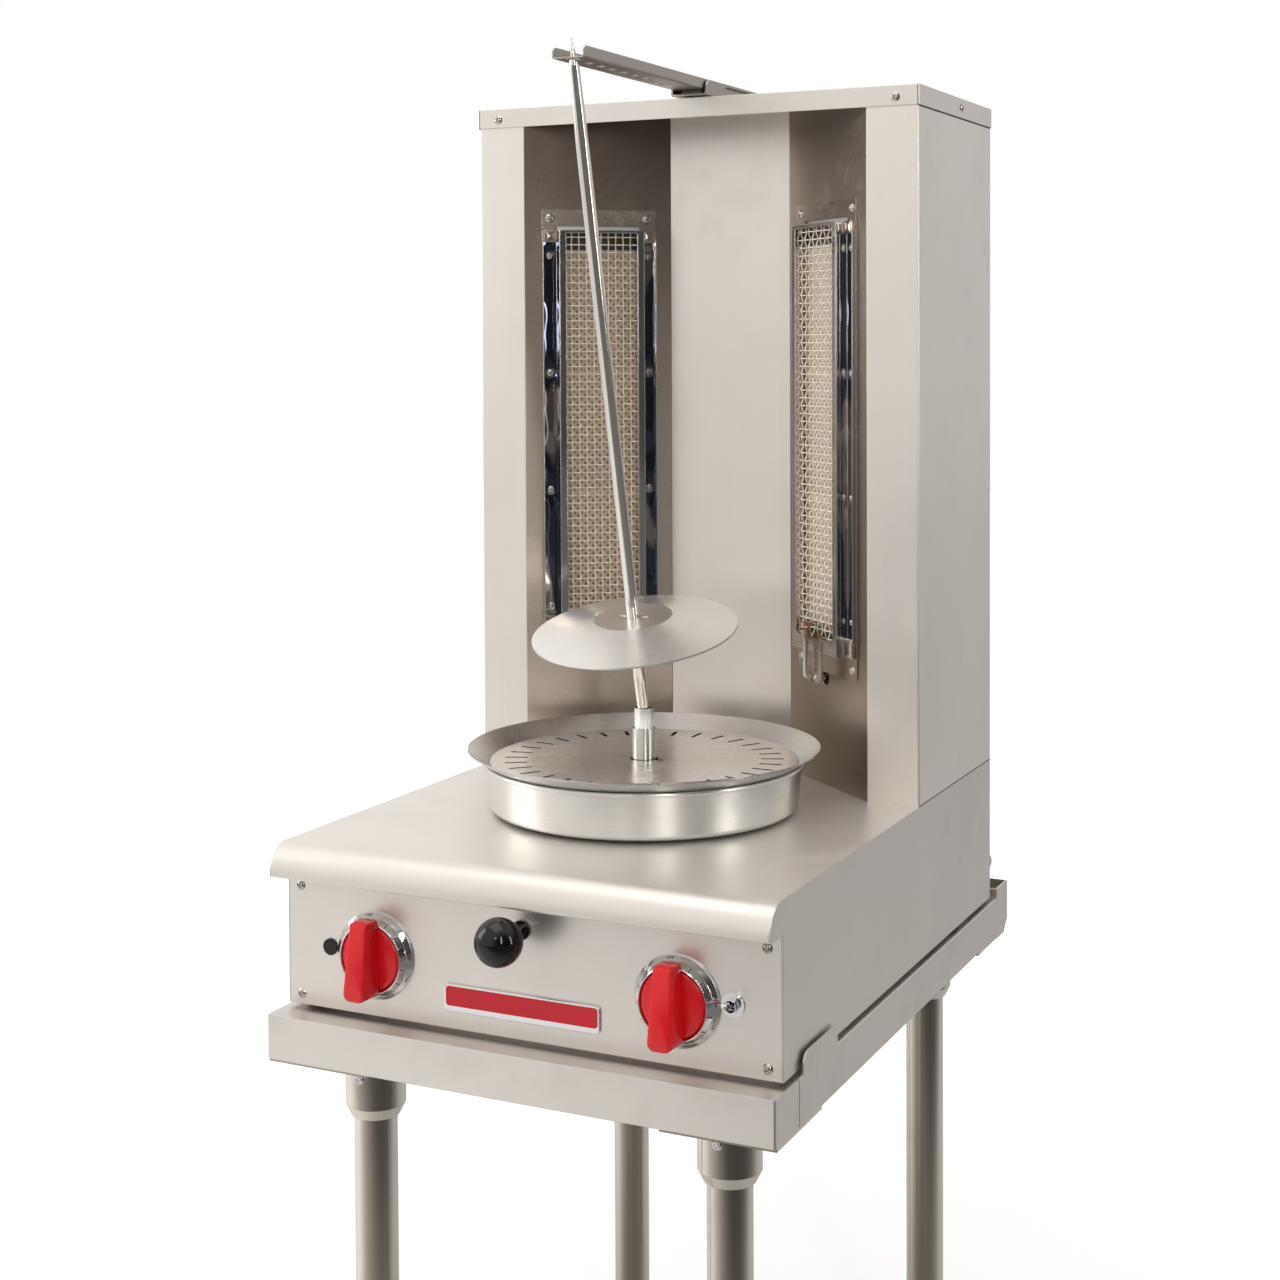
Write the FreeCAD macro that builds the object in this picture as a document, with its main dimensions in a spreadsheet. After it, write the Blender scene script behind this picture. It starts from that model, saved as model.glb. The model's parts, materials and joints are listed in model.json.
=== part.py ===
import FreeCAD, Part
import math
import operator
import os
from types import SimpleNamespace

import Sketcher
from FreeCAD import Placement, Rotation, Vector

# A gas doner kebab grill on an open tubular stand. X points right, Y to the back, Z up, in millimetres.
# The origin is on the floor, midway across and midway between the cabinet's front and back.

SIZES = {
    # Cabinet
    "body_width": 508.0,
    "body_depth": 630.0,
    "sheet": 1.2,
    "cabinet_height": 157.0,
    "nose_reach": 30.0,
    "nose_drop": 30.0,
    "nose_radius": 27.0,
    "bend": 2.0,
    "front_return": 12.0,
    "pan_flange": 15.0,
    "vent_length": 60.0,
    "vent_width": 6.0,
    "vent_pitch": 18.0,
    "floor_vent_spread": 105.0,
    "floor_vent_start": -60.0,
    "floor_vent_rows": 7.0,
    "back_vent_spread": 72.0,
    "back_vent_rise": 41.0,
    "back_vent_rows": 4.0,
    "joint_play": 0.15,
    "moving_gap": 0.3,
    "running_play": 0.05,
    # Tower
    "tower_height": 730.0,
    "tower_front": 58.0,
    "post_width": 55.5,
    "niche_depth": 110.0,
    "centre_width": 142.6,
    "centre_lap": 12.0,
    "cover_height": 20.5,
    "cover_overhang": 1.5,
    "louvre_length": 120.0,
    "louvre_width": 5.0,
    "louvre_pitch": 24.0,
    "louvre_rise": 129.0,
    "louvre_spread": 90.0,
    "louvre_rows": 10.0,
    # Stand
    "tray_top": 610.0,
    "pad_height": 4.0,
    "pad_width": 14.0,
    "pad_length": 40.0,
    "pad_spread": 210.0,
    "stand_sheet": 1.5,
    "rail_gap": 4.5,
    "rail_height": 42.0,
    "rail_ledge": 24.5,
    "rail_lip": 12.5,
    "front_channel_depth": 56.0,
    "tab_inset": 66.0,
    "tab_length": 85.0,
    "tab_rise": 18.5,
    "tab_radius": 12.0,
    "rear_gap": 12.0,
    "rear_channel_depth": 44.0,
    "rear_channel_drop": 46.0,
    "rear_channel_rise": 11.0,
    "rear_channel_chamfer": 14.0,
    # Legs
    "leg_inset": 73.0,
    "leg_front_inset": 73.5,
    "leg_rear_inset": 38.0,
    "leg_radius": 20.65,
    "leg_wall": 1.5,
    "gusset": 3.0,
    "gusset_reach": 36.0,
    "socket_radius": 29.0,
    "socket_depth": 62.0,
    "socket_taper": 11.0,
    "socket_roof": 4.0,
    "foot_height": 50.0,
    "foot_radius": 15.0,
    "foot_plug": 28.0,
    # Carriage and drive
    "spit_centre": -57.0,
    "carriage_width": 194.0,
    "carriage_length": 150.0,
    "carriage_plate": 3.0,
    "carriage_drop": 36.0,
    "slide_block": 24.0,
    "slide_block_length": 30.0,
    "slide_block_height": 25.0,
    "rod_spread": 85.0,
    "rod_radius": 6.0,
    "rod_drop": 49.0,
    "rod_inset": 60.0,
    "rod_rear": 72.0,
    "bracket_sheet": 10.0,
    "bracket_width": 20.0,
    "travel_front": 90.0,
    "travel_rear": 12.0,
    "neck_radius": 30.0,
    "neck_play": 3.0,
    "neck_boss": 13.7,
    "neck_boss_height": 5.0,
    "drum_lift": 3.0,
    "gearbox_width": 84.0,
    "gearbox_front": 35.0,
    "gearbox_rear": 50.0,
    "gearbox_height": 43.0,
    "motor_radius": 30.0,
    "motor_height": 60.0,
    "motor_offset": 12.0,
    "shaft_radius": 7.0,
    "shaft_depth": 36.0,
    "socket_tube": 9.75,
    "socket_bore": 8.5,
    "socket_rise": 99.0,
    "socket_floor_rise": 76.0,
    "socket_collar": 12.5,
    "collar_thickness": 4.7,
    "drive_pin_rise": 90.0,
    "drive_pin_radius": 1.5,
    # Skewer and meat disc
    "lean": 12.75,
    "skewer_radius": 6.35,
    "skewer_foot": 5.5,
    "foot_depth": 9.0,
    "foot_taper": 50.0,
    "skewer_over": 21.54,
    "point_length": 100.0,
    "tip_length": 27.0,
    "tip_neck": 4.9,
    "tip_radius": 0.6,
    "foot_slot": 4.0,
    "foot_slot_reach": 3.0,
    "disc_station": 105.0,
    "disc_radius": 104.0,
    "disc_flat": 39.5,
    "disc_drop": 14.0,
    "disc_sheet": 2.0,
    "disc_pin_radius": 2.5,
    "disc_pin_length": 28.0,
    "notch_length": 32.0,
    "notch_width": 6.0,
    # Pans
    "drum_radius": 156.0,
    "drum_splay": 4.0,
    "drum_height": 43.5,
    "drum_wall": 1.5,
    "bead_height": 3.8,
    "bead_reach": 3.5,
    "tray_wall": 1.2,
    "well_gap": 8.0,
    "well_drop": 32.5,
    "ledge_gap": 2.3,
    "ledge_drop": 3.1,
    "flare_drop": 1.1,
    "flare_run": 21.0,
    "rim_rise": 12.1,
    "chimney_radius": 12.0,
    "chimney_wall": 1.7,
    "chimney_rise": 31.3,
    "plate_sheet": 1.5,
    "plate_gap": 1.7,
    "plate_hole": 14.5,
    "plate_notch": 22.0,
    "plate_notch_width": 8.0,
    "drain_inset": 14.5,
    "drain_length": 22.5,
    "drain_width": 2.4,
    "drain_count": 32.0,
    # Controls
    "knob_rise": 57.0,
    "bezel_radius": 41.0,
    "bezel_bore": 31.6,
    "bezel_depth": 12.0,
    "knob_radius": 31.0,
    "knob_back": 1.5,
    "knob_front": 15.5,
    "bar_front": 40.0,
    "bar_back": 13.5,
    "bar_top": 38.0,
    "bar_bottom": 34.0,
    "bar_top_width": 20.0,
    "bar_bottom_width": 24.0,
    "bar_slope": 12.0,
    "stem_radius": 4.0,
    "stem_front": 12.0,
    "stem_back": 29.7,
    "stem_hole": 6.0,
    "pull_drop": 21.0,
    "pull_radius": 5.0,
    "ball_radius": 22.0,
    "ball_reach": 41.0,
    "bushing_radius": 7.0,
    "bushing_flange": 9.0,
    "bushing_head": 2.0,
    "bushing_length": 12.0,
    "switch_gap": 0.5,
    "switch_rise": 61.0,
    "switch_bushing": 5.9,
    "switch_reach": 7.0,
    "switch_plate": 11.0,
    "switch_nut": 7.0,
    "switch_width": 16.0,
    "switch_body_height": 26.0,
    "switch_depth": 27.0,
    "lever_tilt": 12.0,
    "lever_length": 24.0,
    "lever_ball": 3.2,
    "lever_tip": 3.0,
    "lever_neck": 2.0,
    "plug_gap": 2.0,
    "plug_rise": 59.0,
    "plug_radius": 6.9,
    "plug_head": 8.0,
    "screw_inset": 14.5,
    "screw_drop": 13.0,
    "screw_rise": 10.0,
    "screw_head": 5.0,
    "screw_shank": 2.0,
    "screw_length": 7.0,
    "cover_screw_inset": 24.3,
    "cover_screw_drop": 11.7,
    # Gas train
    "valve_nose": 7.5,
    "valve_radius": 15.0,
    "valve_length": 50.0,
    "valve_nose_length": 14.0,
    "valve_outlet": 8.0,
    "valve_outlet_length": 20.0,
    "valve_stub": 9.0,
    "valve_stub_offset": 32.0,
    "valve_stub_drop": 18.0,
    "pipe_radius": 13.35,
    "pipe_bore": 10.5,
    "manifold_drop": 32.0,
    "manifold_end": 25.0,
    "manifold_bend": 32.0,
    "inlet_inset": 29.0,
    "inlet_reach": 63.0,
    "inlet_nipple": 30.0,
    "inlet_collar": 17.0,
    "inlet_collar_length": 10.0,
    "tube_radius": 6.0,
    "tube_bore": 5.0,
    "tube_bend": 22.0,
    "spud_radius": 8.0,
    "spud_length": 12.0,
    "gland_inset": 54.0,
    "gland_rise": 46.0,
    "gland_bore": 5.0,
    "gland_shank": 8.0,
    "gland_flange": 12.0,
    "gland_reach": 20.0,
    "gland_inner": 8.0,
    # Burners, measured on the angled wall from its middle
    "plate_thickness": 1.5,
    "burner_plate_width": 130.0,
    "burner_plate_foot": 52.0,
    "burner_plate_head": 48.2,
    "burner_screw_spread": 56.0,
    "burner_screw_inset": 10.0,
    "window_half": 47.0,
    "window_foot": 4.0,
    "window_head": 30.2,
    "tile_width": 92.0,
    "tile_pitch": 132.6,
    "tile_rise": 173.0,
    "tile_front": 1.0,
    "tile_back": 12.0,
    "tile_edge": 1.5,
    "frame_half": 48.5,
    "frame_foot": 29.0,
    "frame_head": 25.2,
    "frame_depth": 15.0,
    "frame_sheet": 1.0,
    "frame_rail": 8.0,
    "frame_sill": 15.0,
    "flange_half": 65.0,
    "flange_foot": 14.0,
    "flange_head": 16.2,
    "flange_lip": 4.0,
    "wire": 1.0,
    "wire_pitch": 8.4,
    "box_half": 52.0,
    "box_foot": 10.0,
    "box_head": 38.2,
    "box_depth": 50.0,
    "box_wall": 3.0,
    "mixer_radius": 15.0,
    "mixer_depth": 30.73,
    "mixer_rise": 29.0,
    "mixer_bell": 20.0,
    "mixer_bell_height": 12.0,
    "pilot_offset": 4.0,
    "pilot_reach": 24.0,
    "pilot_hole": 8.0,
    "pilot_hole_drop": 58.0,
    "pilot_tube": 3.0,
    "pilot_bend": 7.0,
    "pilot_nut": 5.5,
    "pilot_nut_drop": 14.0,
    "pilot_nut_height": 9.0,
    "pilot_tip": 6.5,
    "pilot_tip_height": 8.0,
    "pilot_flap_near": 4.0,
    "pilot_flap_far": 22.0,
    "pilot_flap_drop": 61.0,
    "pilot_flap_height": 52.0,
    # Arm on the roof
    "bracket_front": 60.0,
    "bracket_rear": 230.0,
    "bracket_half": 20.5,
    "bracket_gauge": 2.0,
    "bracket_foot": 2.5,
    "bracket_height": 16.5,
    "bracket_corner": 13.0,
    "bracket_boss": 6.0,
    "arm_half": 17.0,
    "arm_gauge": 1.5,
    "arm_rise": 4.0,
    "arm_height": 11.5,
    "arm_nose": 11.0,
    "arm_tail": 6.0,
    "arm_corner": 9.0,
    "arm_bend": 3.0,
    "arm_pin_place": 205.0,
    "arm_pin_lift": 4.5,
    "arm_pin_radius": 3.0,
    "arm_pin_head": 5.0,
    "arm_pin_head_length": 2.7,
    "arm_hole_radius": 6.0,
    "arm_hole_gap": 30.5,
    "arm_hole_pitch": 25.0,
    "arm_hole_count": 8.0,
    "skewer_hole_radius": 8.5,
    "slide_pad_place": 66.0,
    "slide_pad_length": 20.0,
    "slide_pad_half": 12.0,
}

OPERATIONS = {"+": operator.add, "-": operator.sub, "*": operator.mul, "/": operator.truediv}


class Size:
    """A number that also knows the sheet formula it comes from."""

    def __init__(self, value, text):
        self.value = value
        self.text = text

    def __add__(self, other):
        return combine(self, "+", other)

    def __radd__(self, other):
        return combine(other, "+", self)

    def __sub__(self, other):
        return combine(self, "-", other)

    def __rsub__(self, other):
        return combine(other, "-", self)

    def __mul__(self, other):
        return combine(self, "*", other)

    def __rmul__(self, other):
        return combine(other, "*", self)

    def __truediv__(self, other):
        return combine(self, "/", other)

    def __neg__(self):
        return combine(-1, "*", self)


def as_size(thing):
    return thing if isinstance(thing, Size) else Size(float(thing), f"({float(thing)})")


def combine(left, sign, right):
    left = as_size(left)
    right = as_size(right)
    return Size(OPERATIONS[sign](left.value, right.value), f"({left.text} {sign} {right.text})")


def sin_of(angle):
    return Size(math.sin(math.radians(angle.value)), f"sin({angle.text})")


def cos_of(angle):
    return Size(math.cos(math.radians(angle.value)), f"cos({angle.text})")


def angle_of(rise, run):
    ratio = rise / run
    return Size(math.degrees(math.atan(ratio.value)), f"atan({ratio.text})")


def root_of_squares(one, two):
    total = one * one + two * two
    return Size(math.sqrt(total.value), f"sqrt({total.text})")


doc = FreeCAD.newDocument("DonerGrill")
dims = doc.addObject("Spreadsheet::Sheet", "dims")
for row, (name, value) in enumerate(SIZES.items(), start=1):
    dims.set(f"A{row}", name)
    dims.set(f"B{row}", str(value))
    dims.setAlias(f"B{row}", name)
doc.recompute()
D = SimpleNamespace(**{name: Size(value, f"dims.{name}") for name, value in SIZES.items()})

# How the parts are drawn: each origin plane, and whether its normal runs along its axis or against it.
PLANES = {"XY": ("XY_Plane", 1), "XZ": ("XZ_Plane", -1), "YZ": ("YZ_Plane", 1)}
parts = []
cuts = []


def bind(thing, path, size):
    thing.setExpression(path, as_size(size).text)


def body(label, keep=True):
    """A new body; a kept one is a part of the grill with a file of its own."""
    made = doc.addObject("PartDesign::Body", label)
    made.Label = label
    if keep:
        parts.append(made)
    return made


def place(made, x=0, y=0, z=0, axis=None, angle=0):
    """Put a part where the sheet says, turned by a sheet angle about a fixed axis."""
    made.Placement = Placement(Vector(), Rotation(Vector(*axis), 1) if axis else Rotation())
    for letter, size in (("x", x), ("y", y), ("z", z)):
        bind(made, f"Placement.Base.{letter}", size)
    if axis:
        bind(made, "Placement.Rotation.Angle", angle)


def sketch_on(made, plane, level=0):
    """An empty sketch on one of the body's own planes, at a level along that plane's axis."""
    role, sense = PLANES[plane]
    sketch = made.newObject("Sketcher::SketchObject", f"{made.Name}_sketch")
    sketch.AttachmentSupport = (next(f for f in made.Origin.OriginFeatures if f.Role == role), [""])
    sketch.MapMode = "FlatFace"
    bind(sketch, "AttachmentOffset.Base.z", sense * as_size(level))
    return sketch


def fix_spot(sketch, item, end, x, y):
    """Hold one point of a sketch at sheet coordinates."""
    for kind, size in (("DistanceX", x), ("DistanceY", y)):
        index = sketch.addConstraint(Sketcher.Constraint(kind, -1, 1, item, end, size.value))
        sketch.setExpression(f"Constraints[{index}]", size.text)


def draw_circle(sketch, x, y, radius):
    x, y, radius = as_size(x), as_size(y), as_size(radius)
    centre = Vector(x.value, y.value, 0)
    item = sketch.addGeometry(Part.Circle(centre, Vector(0, 0, 1), radius.value), False)
    index = sketch.addConstraint(Sketcher.Constraint("Radius", item, radius.value))
    sketch.setExpression(f"Constraints[{index}]", radius.text)
    fix_spot(sketch, item, 3, x, y)


def rounded(corner, before, after, radius):
    """Where a corner's arc starts, its middle and its end."""
    back = (before - corner).normalize()
    ahead = (after - corner).normalize()
    half = back.getAngle(ahead) / 2
    reach = radius / math.tan(half)
    middle = corner + (back + ahead).normalize() * (radius / math.sin(half) - radius)
    return corner + back * reach, middle, corner + ahead * reach


def draw_outline(sketch, corners):
    """A closed outline through corners (x, y) or (x, y, radius), rounded where a radius is given."""
    spots = [tuple(as_size(number) for number in corner) for corner in corners]
    flat = [Vector(spot[0].value, spot[1].value, 0) for spot in spots]
    count = len(spots)
    bends = {}
    for index, spot in enumerate(spots):
        if len(spot) == 3:
            bends[index] = rounded(flat[index], flat[index - 1], flat[(index + 1) % count], spot[2].value)
    sides = []
    for index in range(count):
        follower = (index + 1) % count
        start = bends[index][2] if index in bends else flat[index]
        stop = bends[follower][0] if follower in bends else flat[follower]
        sides.append(sketch.addGeometry(Part.LineSegment(start, stop), False))
    for index, spot in enumerate(spots):
        before, after = sides[index - 1], sides[index]
        if index not in bends:
            sketch.addConstraint(Sketcher.Constraint("Coincident", before, 2, after, 1))
            fix_spot(sketch, after, 1, spot[0], spot[1])
            continue
        curve = Part.Arc(*bends[index])
        arc = sketch.addGeometry(curve, False)
        first = sketch.getPoint(arc, 1)
        near, far = (1, 2) if first.distanceToPoint(bends[index][0]) < first.distanceToPoint(bends[index][2]) else (2, 1)
        sketch.addConstraint(Sketcher.Constraint("Tangent", before, 2, arc, near))
        sketch.addConstraint(Sketcher.Constraint("Tangent", after, 1, arc, far))
        held = sketch.addConstraint(Sketcher.Constraint("Radius", arc, spot[2].value))
        sketch.setExpression(f"Constraints[{held}]", spot[2].text)
        corner = sketch.addGeometry(Part.Point(flat[index]), True)
        fix_spot(sketch, corner, 1, spot[0], spot[1])
        sketch.addConstraint(Sketcher.Constraint("PointOnObject", corner, 1, before))
        sketch.addConstraint(Sketcher.Constraint("PointOnObject", corner, 1, after))


def draw(sketch, loops):
    """Each loop is a list of corners, or a circle given as a tuple (x, y, radius)."""
    for loop in loops:
        if isinstance(loop, tuple):
            draw_circle(sketch, *loop)
        else:
            draw_outline(sketch, loop)


def rectangle(left, right, low, high, radius=None):
    corners = [(left, low), (right, low), (right, high), (left, high)]
    return [corner + (radius,) for corner in corners] if radius is not None else corners


def add(made, plane, start, stop, *loops):
    """Material between two levels along a plane's axis."""
    start, stop = as_size(start), as_size(stop)
    sketch = sketch_on(made, plane, start)
    draw(sketch, loops)
    pad = made.newObject("PartDesign::Pad", f"{made.Name}_pad")
    pad.Profile = sketch
    bind(pad, "Length", stop - start)
    pad.Reversed = PLANES[plane][1] < 0
    return pad


def cut(made, plane, start, stop, *loops):
    """A cut between two levels along a plane's axis."""
    start, stop = as_size(start), as_size(stop)
    sketch = sketch_on(made, plane, start)
    draw(sketch, loops)
    pocket = made.newObject("PartDesign::Pocket", f"{made.Name}_cut")
    pocket.Profile = sketch
    bind(pocket, "Length", stop - start)
    pocket.Reversed = PLANES[plane][1] > 0
    cuts.append(pocket)
    return pocket


def turned(made, plane, corners):
    """A turned piece: XZ turns about Z, XY about Y with x as the radius, XY_long about X with y as the radius."""
    sketch = sketch_on(made, plane[:2])
    draw(sketch, [corners])
    turn = made.newObject("PartDesign::Revolution", f"{made.Name}_turn")
    turn.Profile = sketch
    turn.ReferenceAxis = (sketch, ["H_Axis" if plane == "XY_long" else "V_Axis"])
    return turn


def group(label, members):
    """Like pieces under one name, each its own solid."""
    bundle = doc.addObject("Part::Compound", label)
    bundle.Label = label
    bundle.Links = members
    parts.append(bundle)
    return bundle


def pipe_along(made, profile, spine, edges):
    sweep = made.newObject("PartDesign::AdditivePipe", f"{made.Name}_pipe")
    sweep.Profile = profile
    sweep.Spine = (spine, [f"Edge{number}" for number in range(1, edges + 1)])
    return sweep


def draw_elbow(sketch, start, corner, stop, radius):
    """An open path from start to stop round one square corner, as line, arc and line."""
    points = [Vector(as_size(spot[0]).value, as_size(spot[1]).value, 0) for spot in (start, corner, stop)]
    bend = rounded(points[1], points[0], points[2], radius.value)
    first = sketch.addGeometry(Part.LineSegment(points[0], bend[0]), False)
    arc = sketch.addGeometry(Part.Arc(*bend), False)
    last = sketch.addGeometry(Part.LineSegment(bend[2], points[2]), False)
    begin = sketch.getPoint(arc, 1)
    near, far = (1, 2) if begin.distanceToPoint(bend[0]) < begin.distanceToPoint(bend[2]) else (2, 1)
    sketch.addConstraint(Sketcher.Constraint("Tangent", first, 2, arc, near))
    sketch.addConstraint(Sketcher.Constraint("Tangent", last, 1, arc, far))
    held = sketch.addConstraint(Sketcher.Constraint("Radius", arc, radius.value))
    sketch.setExpression(f"Constraints[{held}]", radius.text)
    fix_spot(sketch, first, 1, as_size(start[0]), as_size(start[1]))
    fix_spot(sketch, last, 2, as_size(stop[0]), as_size(stop[1]))
    flat = "Horizontal" if abs(points[0].y - points[1].y) < 1e-6 else "Vertical"
    upright = "Vertical" if flat == "Horizontal" else "Horizontal"
    sketch.addConstraint(Sketcher.Constraint(flat, first))
    sketch.addConstraint(Sketcher.Constraint(upright, last))


# Levels and faces that several parts share.
half = D.body_width / 2
inner = half - D.sheet
front = -(D.body_depth / 2)
back = D.body_depth / 2
base = D.tray_top + D.pad_height
deck_top = base + D.cabinet_height
deck_under = deck_top - D.sheet
lip = deck_top - D.nose_drop
nose = front - D.nose_reach
tower_top = deck_top + D.tower_height
wall_top = tower_top - D.sheet
post_inner = half - D.post_width
centre_half = D.centre_width / 2
niche_back = D.tower_front + D.niche_depth

stand_half = half + D.rail_gap
rail_low = D.tray_top - D.rail_height
channel_back = nose + D.front_channel_depth
rear_start = back + D.rear_gap
rear_end = rear_start + D.rear_channel_depth
tab_start = nose + D.tab_inset
leg_x = stand_half - D.leg_inset
leg_front = nose + D.leg_front_inset
leg_rear = rear_start - D.leg_rear_inset

wall_run = post_inner - centre_half
wall_angle = angle_of(D.niche_depth, wall_run)
wall_half = root_of_squares(wall_run, D.niche_depth) / 2
wall_x = (post_inner + centre_half) / 2
wall_y = D.tower_front + D.niche_depth / 2
mixer_y = wall_y + cos_of(wall_angle) * D.mixer_depth

# Heights on the burner walls, all counted from the ceramic tiles.
tile_low = deck_top + D.tile_rise
tile_high = tile_low + 3 * D.tile_pitch
window_low = tile_low - D.window_foot
window_high = tile_high + D.window_head
burner_plate_low = tile_low - D.burner_plate_foot
burner_plate_high = tile_high + D.burner_plate_head
frame_front = D.plate_thickness + D.frame_depth
frame_low = tile_low - D.frame_foot
frame_high = tile_high + D.frame_head
flange_low = tile_low - D.flange_foot
flange_high = tile_high + D.flange_head
box_low = tile_low - D.box_foot
box_high = tile_high + D.box_head
mixer_low = deck_top + D.mixer_rise
pilot_hole_z = tile_low - D.pilot_hole_drop
pilot_nut_low = tile_low - D.pilot_nut_drop
pilot_flap_low = tile_low - D.pilot_flap_drop
pilot_flap_high = pilot_flap_low + D.pilot_flap_height

# The carriage, the drive and the pans, counted from the drum's floor and its bead.
drum_low = deck_top + D.drum_lift
plate_top = drum_low - D.carriage_drop
plate_low = plate_top - D.carriage_plate
rod_z = deck_top - D.rod_drop
rod_start = front + D.rod_inset
pull_z = plate_low - D.pull_drop
socket_top = drum_low + D.socket_rise
socket_floor = drum_low + D.socket_floor_rise
drive_z = drum_low + D.drive_pin_rise
bead_top = drum_low + D.drum_height + D.bead_height
drum_flare = D.drum_radius + D.drum_splay
well_radius = D.drum_radius - D.well_gap
well_floor = bead_top - D.well_drop
ledge_radius = drum_flare - D.ledge_gap
ledge_under = bead_top - D.ledge_drop
flare_start = bead_top - D.flare_drop
rim_radius = ledge_radius + D.flare_run
rim_under = bead_top + D.rim_rise
chimney_top = bead_top + D.chimney_rise
plate_radius = ledge_radius - D.plate_gap
drain_outer = plate_radius - D.drain_inset
drain_inner = drain_outer - D.drain_length

# Controls: each knob is in line with its burner's mixing tube, the switch and the plug stand beside the bezels.
knob_x = wall_x + sin_of(wall_angle) * D.mixer_depth
knob_z = base + D.knob_rise
switch_x = knob_x + D.bezel_radius + D.switch_gap + D.switch_plate
switch_z = base + D.switch_rise
plug_x = knob_x + D.bezel_radius + D.plug_gap + D.plug_head
plug_z = base + D.plug_rise
screw_x = half - D.screw_inset
screw_low = base + D.screw_rise
screw_high = lip - D.screw_drop
cover_screw_x = half - D.cover_screw_inset
inlet_x = half - D.inlet_inset
gland_x = half - D.gland_inset
gland_z = base + D.gland_rise

# The arm on the roof and the skewer that reaches up to it.
bracket_low = tower_top + D.bracket_foot
bracket_floor = bracket_low + D.bracket_gauge
arm_low = bracket_floor + D.arm_rise
arm_rise_over_pin = arm_low + D.arm_gauge / 2 - drive_z
skewer_hole_y = D.spit_centre - arm_rise_over_pin * sin_of(D.lean) / cos_of(D.lean)
skewer_length = (arm_low + D.skewer_over - drive_z) / cos_of(D.lean)
arm_front = skewer_hole_y - D.arm_nose
arm_hole_first = skewer_hole_y + D.arm_hole_gap

SIDES = {"left": -1, "right": 1}


def front_channel():
    made = body("stand_front_channel")
    wall = D.stand_sheet
    add(made, "XY", rail_low, D.tray_top, rectangle(-stand_half, stand_half, nose, channel_back, D.bend))
    cut(made, "XY", rail_low, D.tray_top - wall,
        rectangle(-stand_half + wall, stand_half - wall, nose + wall, channel_back - wall))


def stand_rail(side):
    """A C-shaped side rail whose front tab stands up beside the cabinet."""
    made = body("stand_rail_" + ("left" if side < 0 else "right"), keep=False)
    wall = D.stand_sheet
    face = side * stand_half
    inside = side * (stand_half - wall)
    ledge = side * (stand_half - D.rail_ledge)
    lip_edge = side * (stand_half - D.rail_lip)
    add(made, "XZ", channel_back, rear_start, [
        (face, rail_low), (face, D.tray_top, wall), (ledge, D.tray_top), (ledge, D.tray_top - wall),
        (inside, D.tray_top - wall), (inside, rail_low + wall), (lip_edge, rail_low + wall), (lip_edge, rail_low)])
    tab_end = tab_start + D.tab_length
    tab_root = D.tray_top - D.rail_height / 2
    low, high = (face, inside) if side < 0 else (inside, face)
    add(made, "YZ", low, high, [
        (tab_start, tab_root), (tab_start, D.tray_top + D.tab_rise, D.tab_radius),
        (tab_end, D.tray_top + D.tab_rise, D.bend), (tab_end, tab_root)])
    return made


def rear_channel():
    """An open trough behind the cabinet, its lower rear edge bevelled and its ends closed."""
    made = body("stand_rear_channel")
    wall = D.stand_sheet
    low = D.tray_top - D.rear_channel_drop
    high = D.tray_top + D.rear_channel_rise
    bevel = D.rear_channel_chamfer
    start = rear_start
    end = rear_end
    add(made, "YZ", -stand_half, stand_half, [
        (start, low), (end - bevel, low), (end, low + bevel), (end, high, D.bend), (start, high)])
    cut(made, "YZ", -stand_half + wall, stand_half - wall, [
        (start + wall, low + wall), (end - bevel - wall, low + wall), (end - wall, low + bevel + wall),
        (end - wall, high + wall), (start + wall, high + wall)])


def leg_spots():
    for side in (-1, 1):
        for depth in (leg_front, leg_rear):
            yield side, side * leg_x, depth


def leg_mounts():
    """A gusset plate under the corner of the stand with a tapered socket for the leg."""
    members = []
    bore = D.leg_radius + D.joint_play
    roof = rail_low - D.gusset
    mouth = roof - D.socket_depth
    for side, x, y in leg_spots():
        made = body("leg_mount", keep=False)
        place(made, x, y)
        turned(made, "XZ", [
            (0, roof - D.socket_roof), (0, roof), (D.socket_radius, roof, D.bend),
            (D.socket_radius, mouth + D.socket_taper), (D.socket_radius - D.socket_taper / 2, mouth),
            (bore, mouth), (bore, roof - D.socket_roof)])
        outer = side * (stand_half - leg_x)
        near = -side * D.gusset_reach
        if y is leg_front:
            low, high = nose + 2 * D.stand_sheet - y, D.gusset_reach
        else:
            low, high = -D.gusset_reach, rear_start - y
        edges = sorted((outer, near), key=lambda size: size.value)
        add(made, "XY", roof, rail_low, rectangle(edges[0], edges[1], low, high))
        members.append(made)
    group("leg_mounts", members)


def legs():
    members = []
    top = rail_low - D.gusset - D.socket_roof
    for side, x, y in leg_spots():
        made = body("leg", keep=False)
        place(made, x, y)
        add(made, "XY", D.foot_height, top, (0, 0, D.leg_radius), (0, 0, D.leg_radius - D.leg_wall))
        members.append(made)
    group("legs", members)


def leg_feet():
    """A bullet foot: a cone to the floor under a plug that slides into the leg."""
    members = []
    plug = D.leg_radius - D.leg_wall - D.joint_play
    for side, x, y in leg_spots():
        made = body("leg_foot", keep=False)
        place(made, x, y)
        turned(made, "XZ", [
            (0, 0), (D.foot_radius, 0, D.bend), (D.leg_radius, D.foot_height * 0.8), (D.leg_radius, D.foot_height),
            (plug, D.foot_height), (plug, D.foot_height + D.foot_plug), (0, D.foot_height + D.foot_plug)])
        members.append(made)
    group("leg_feet", members)


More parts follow.
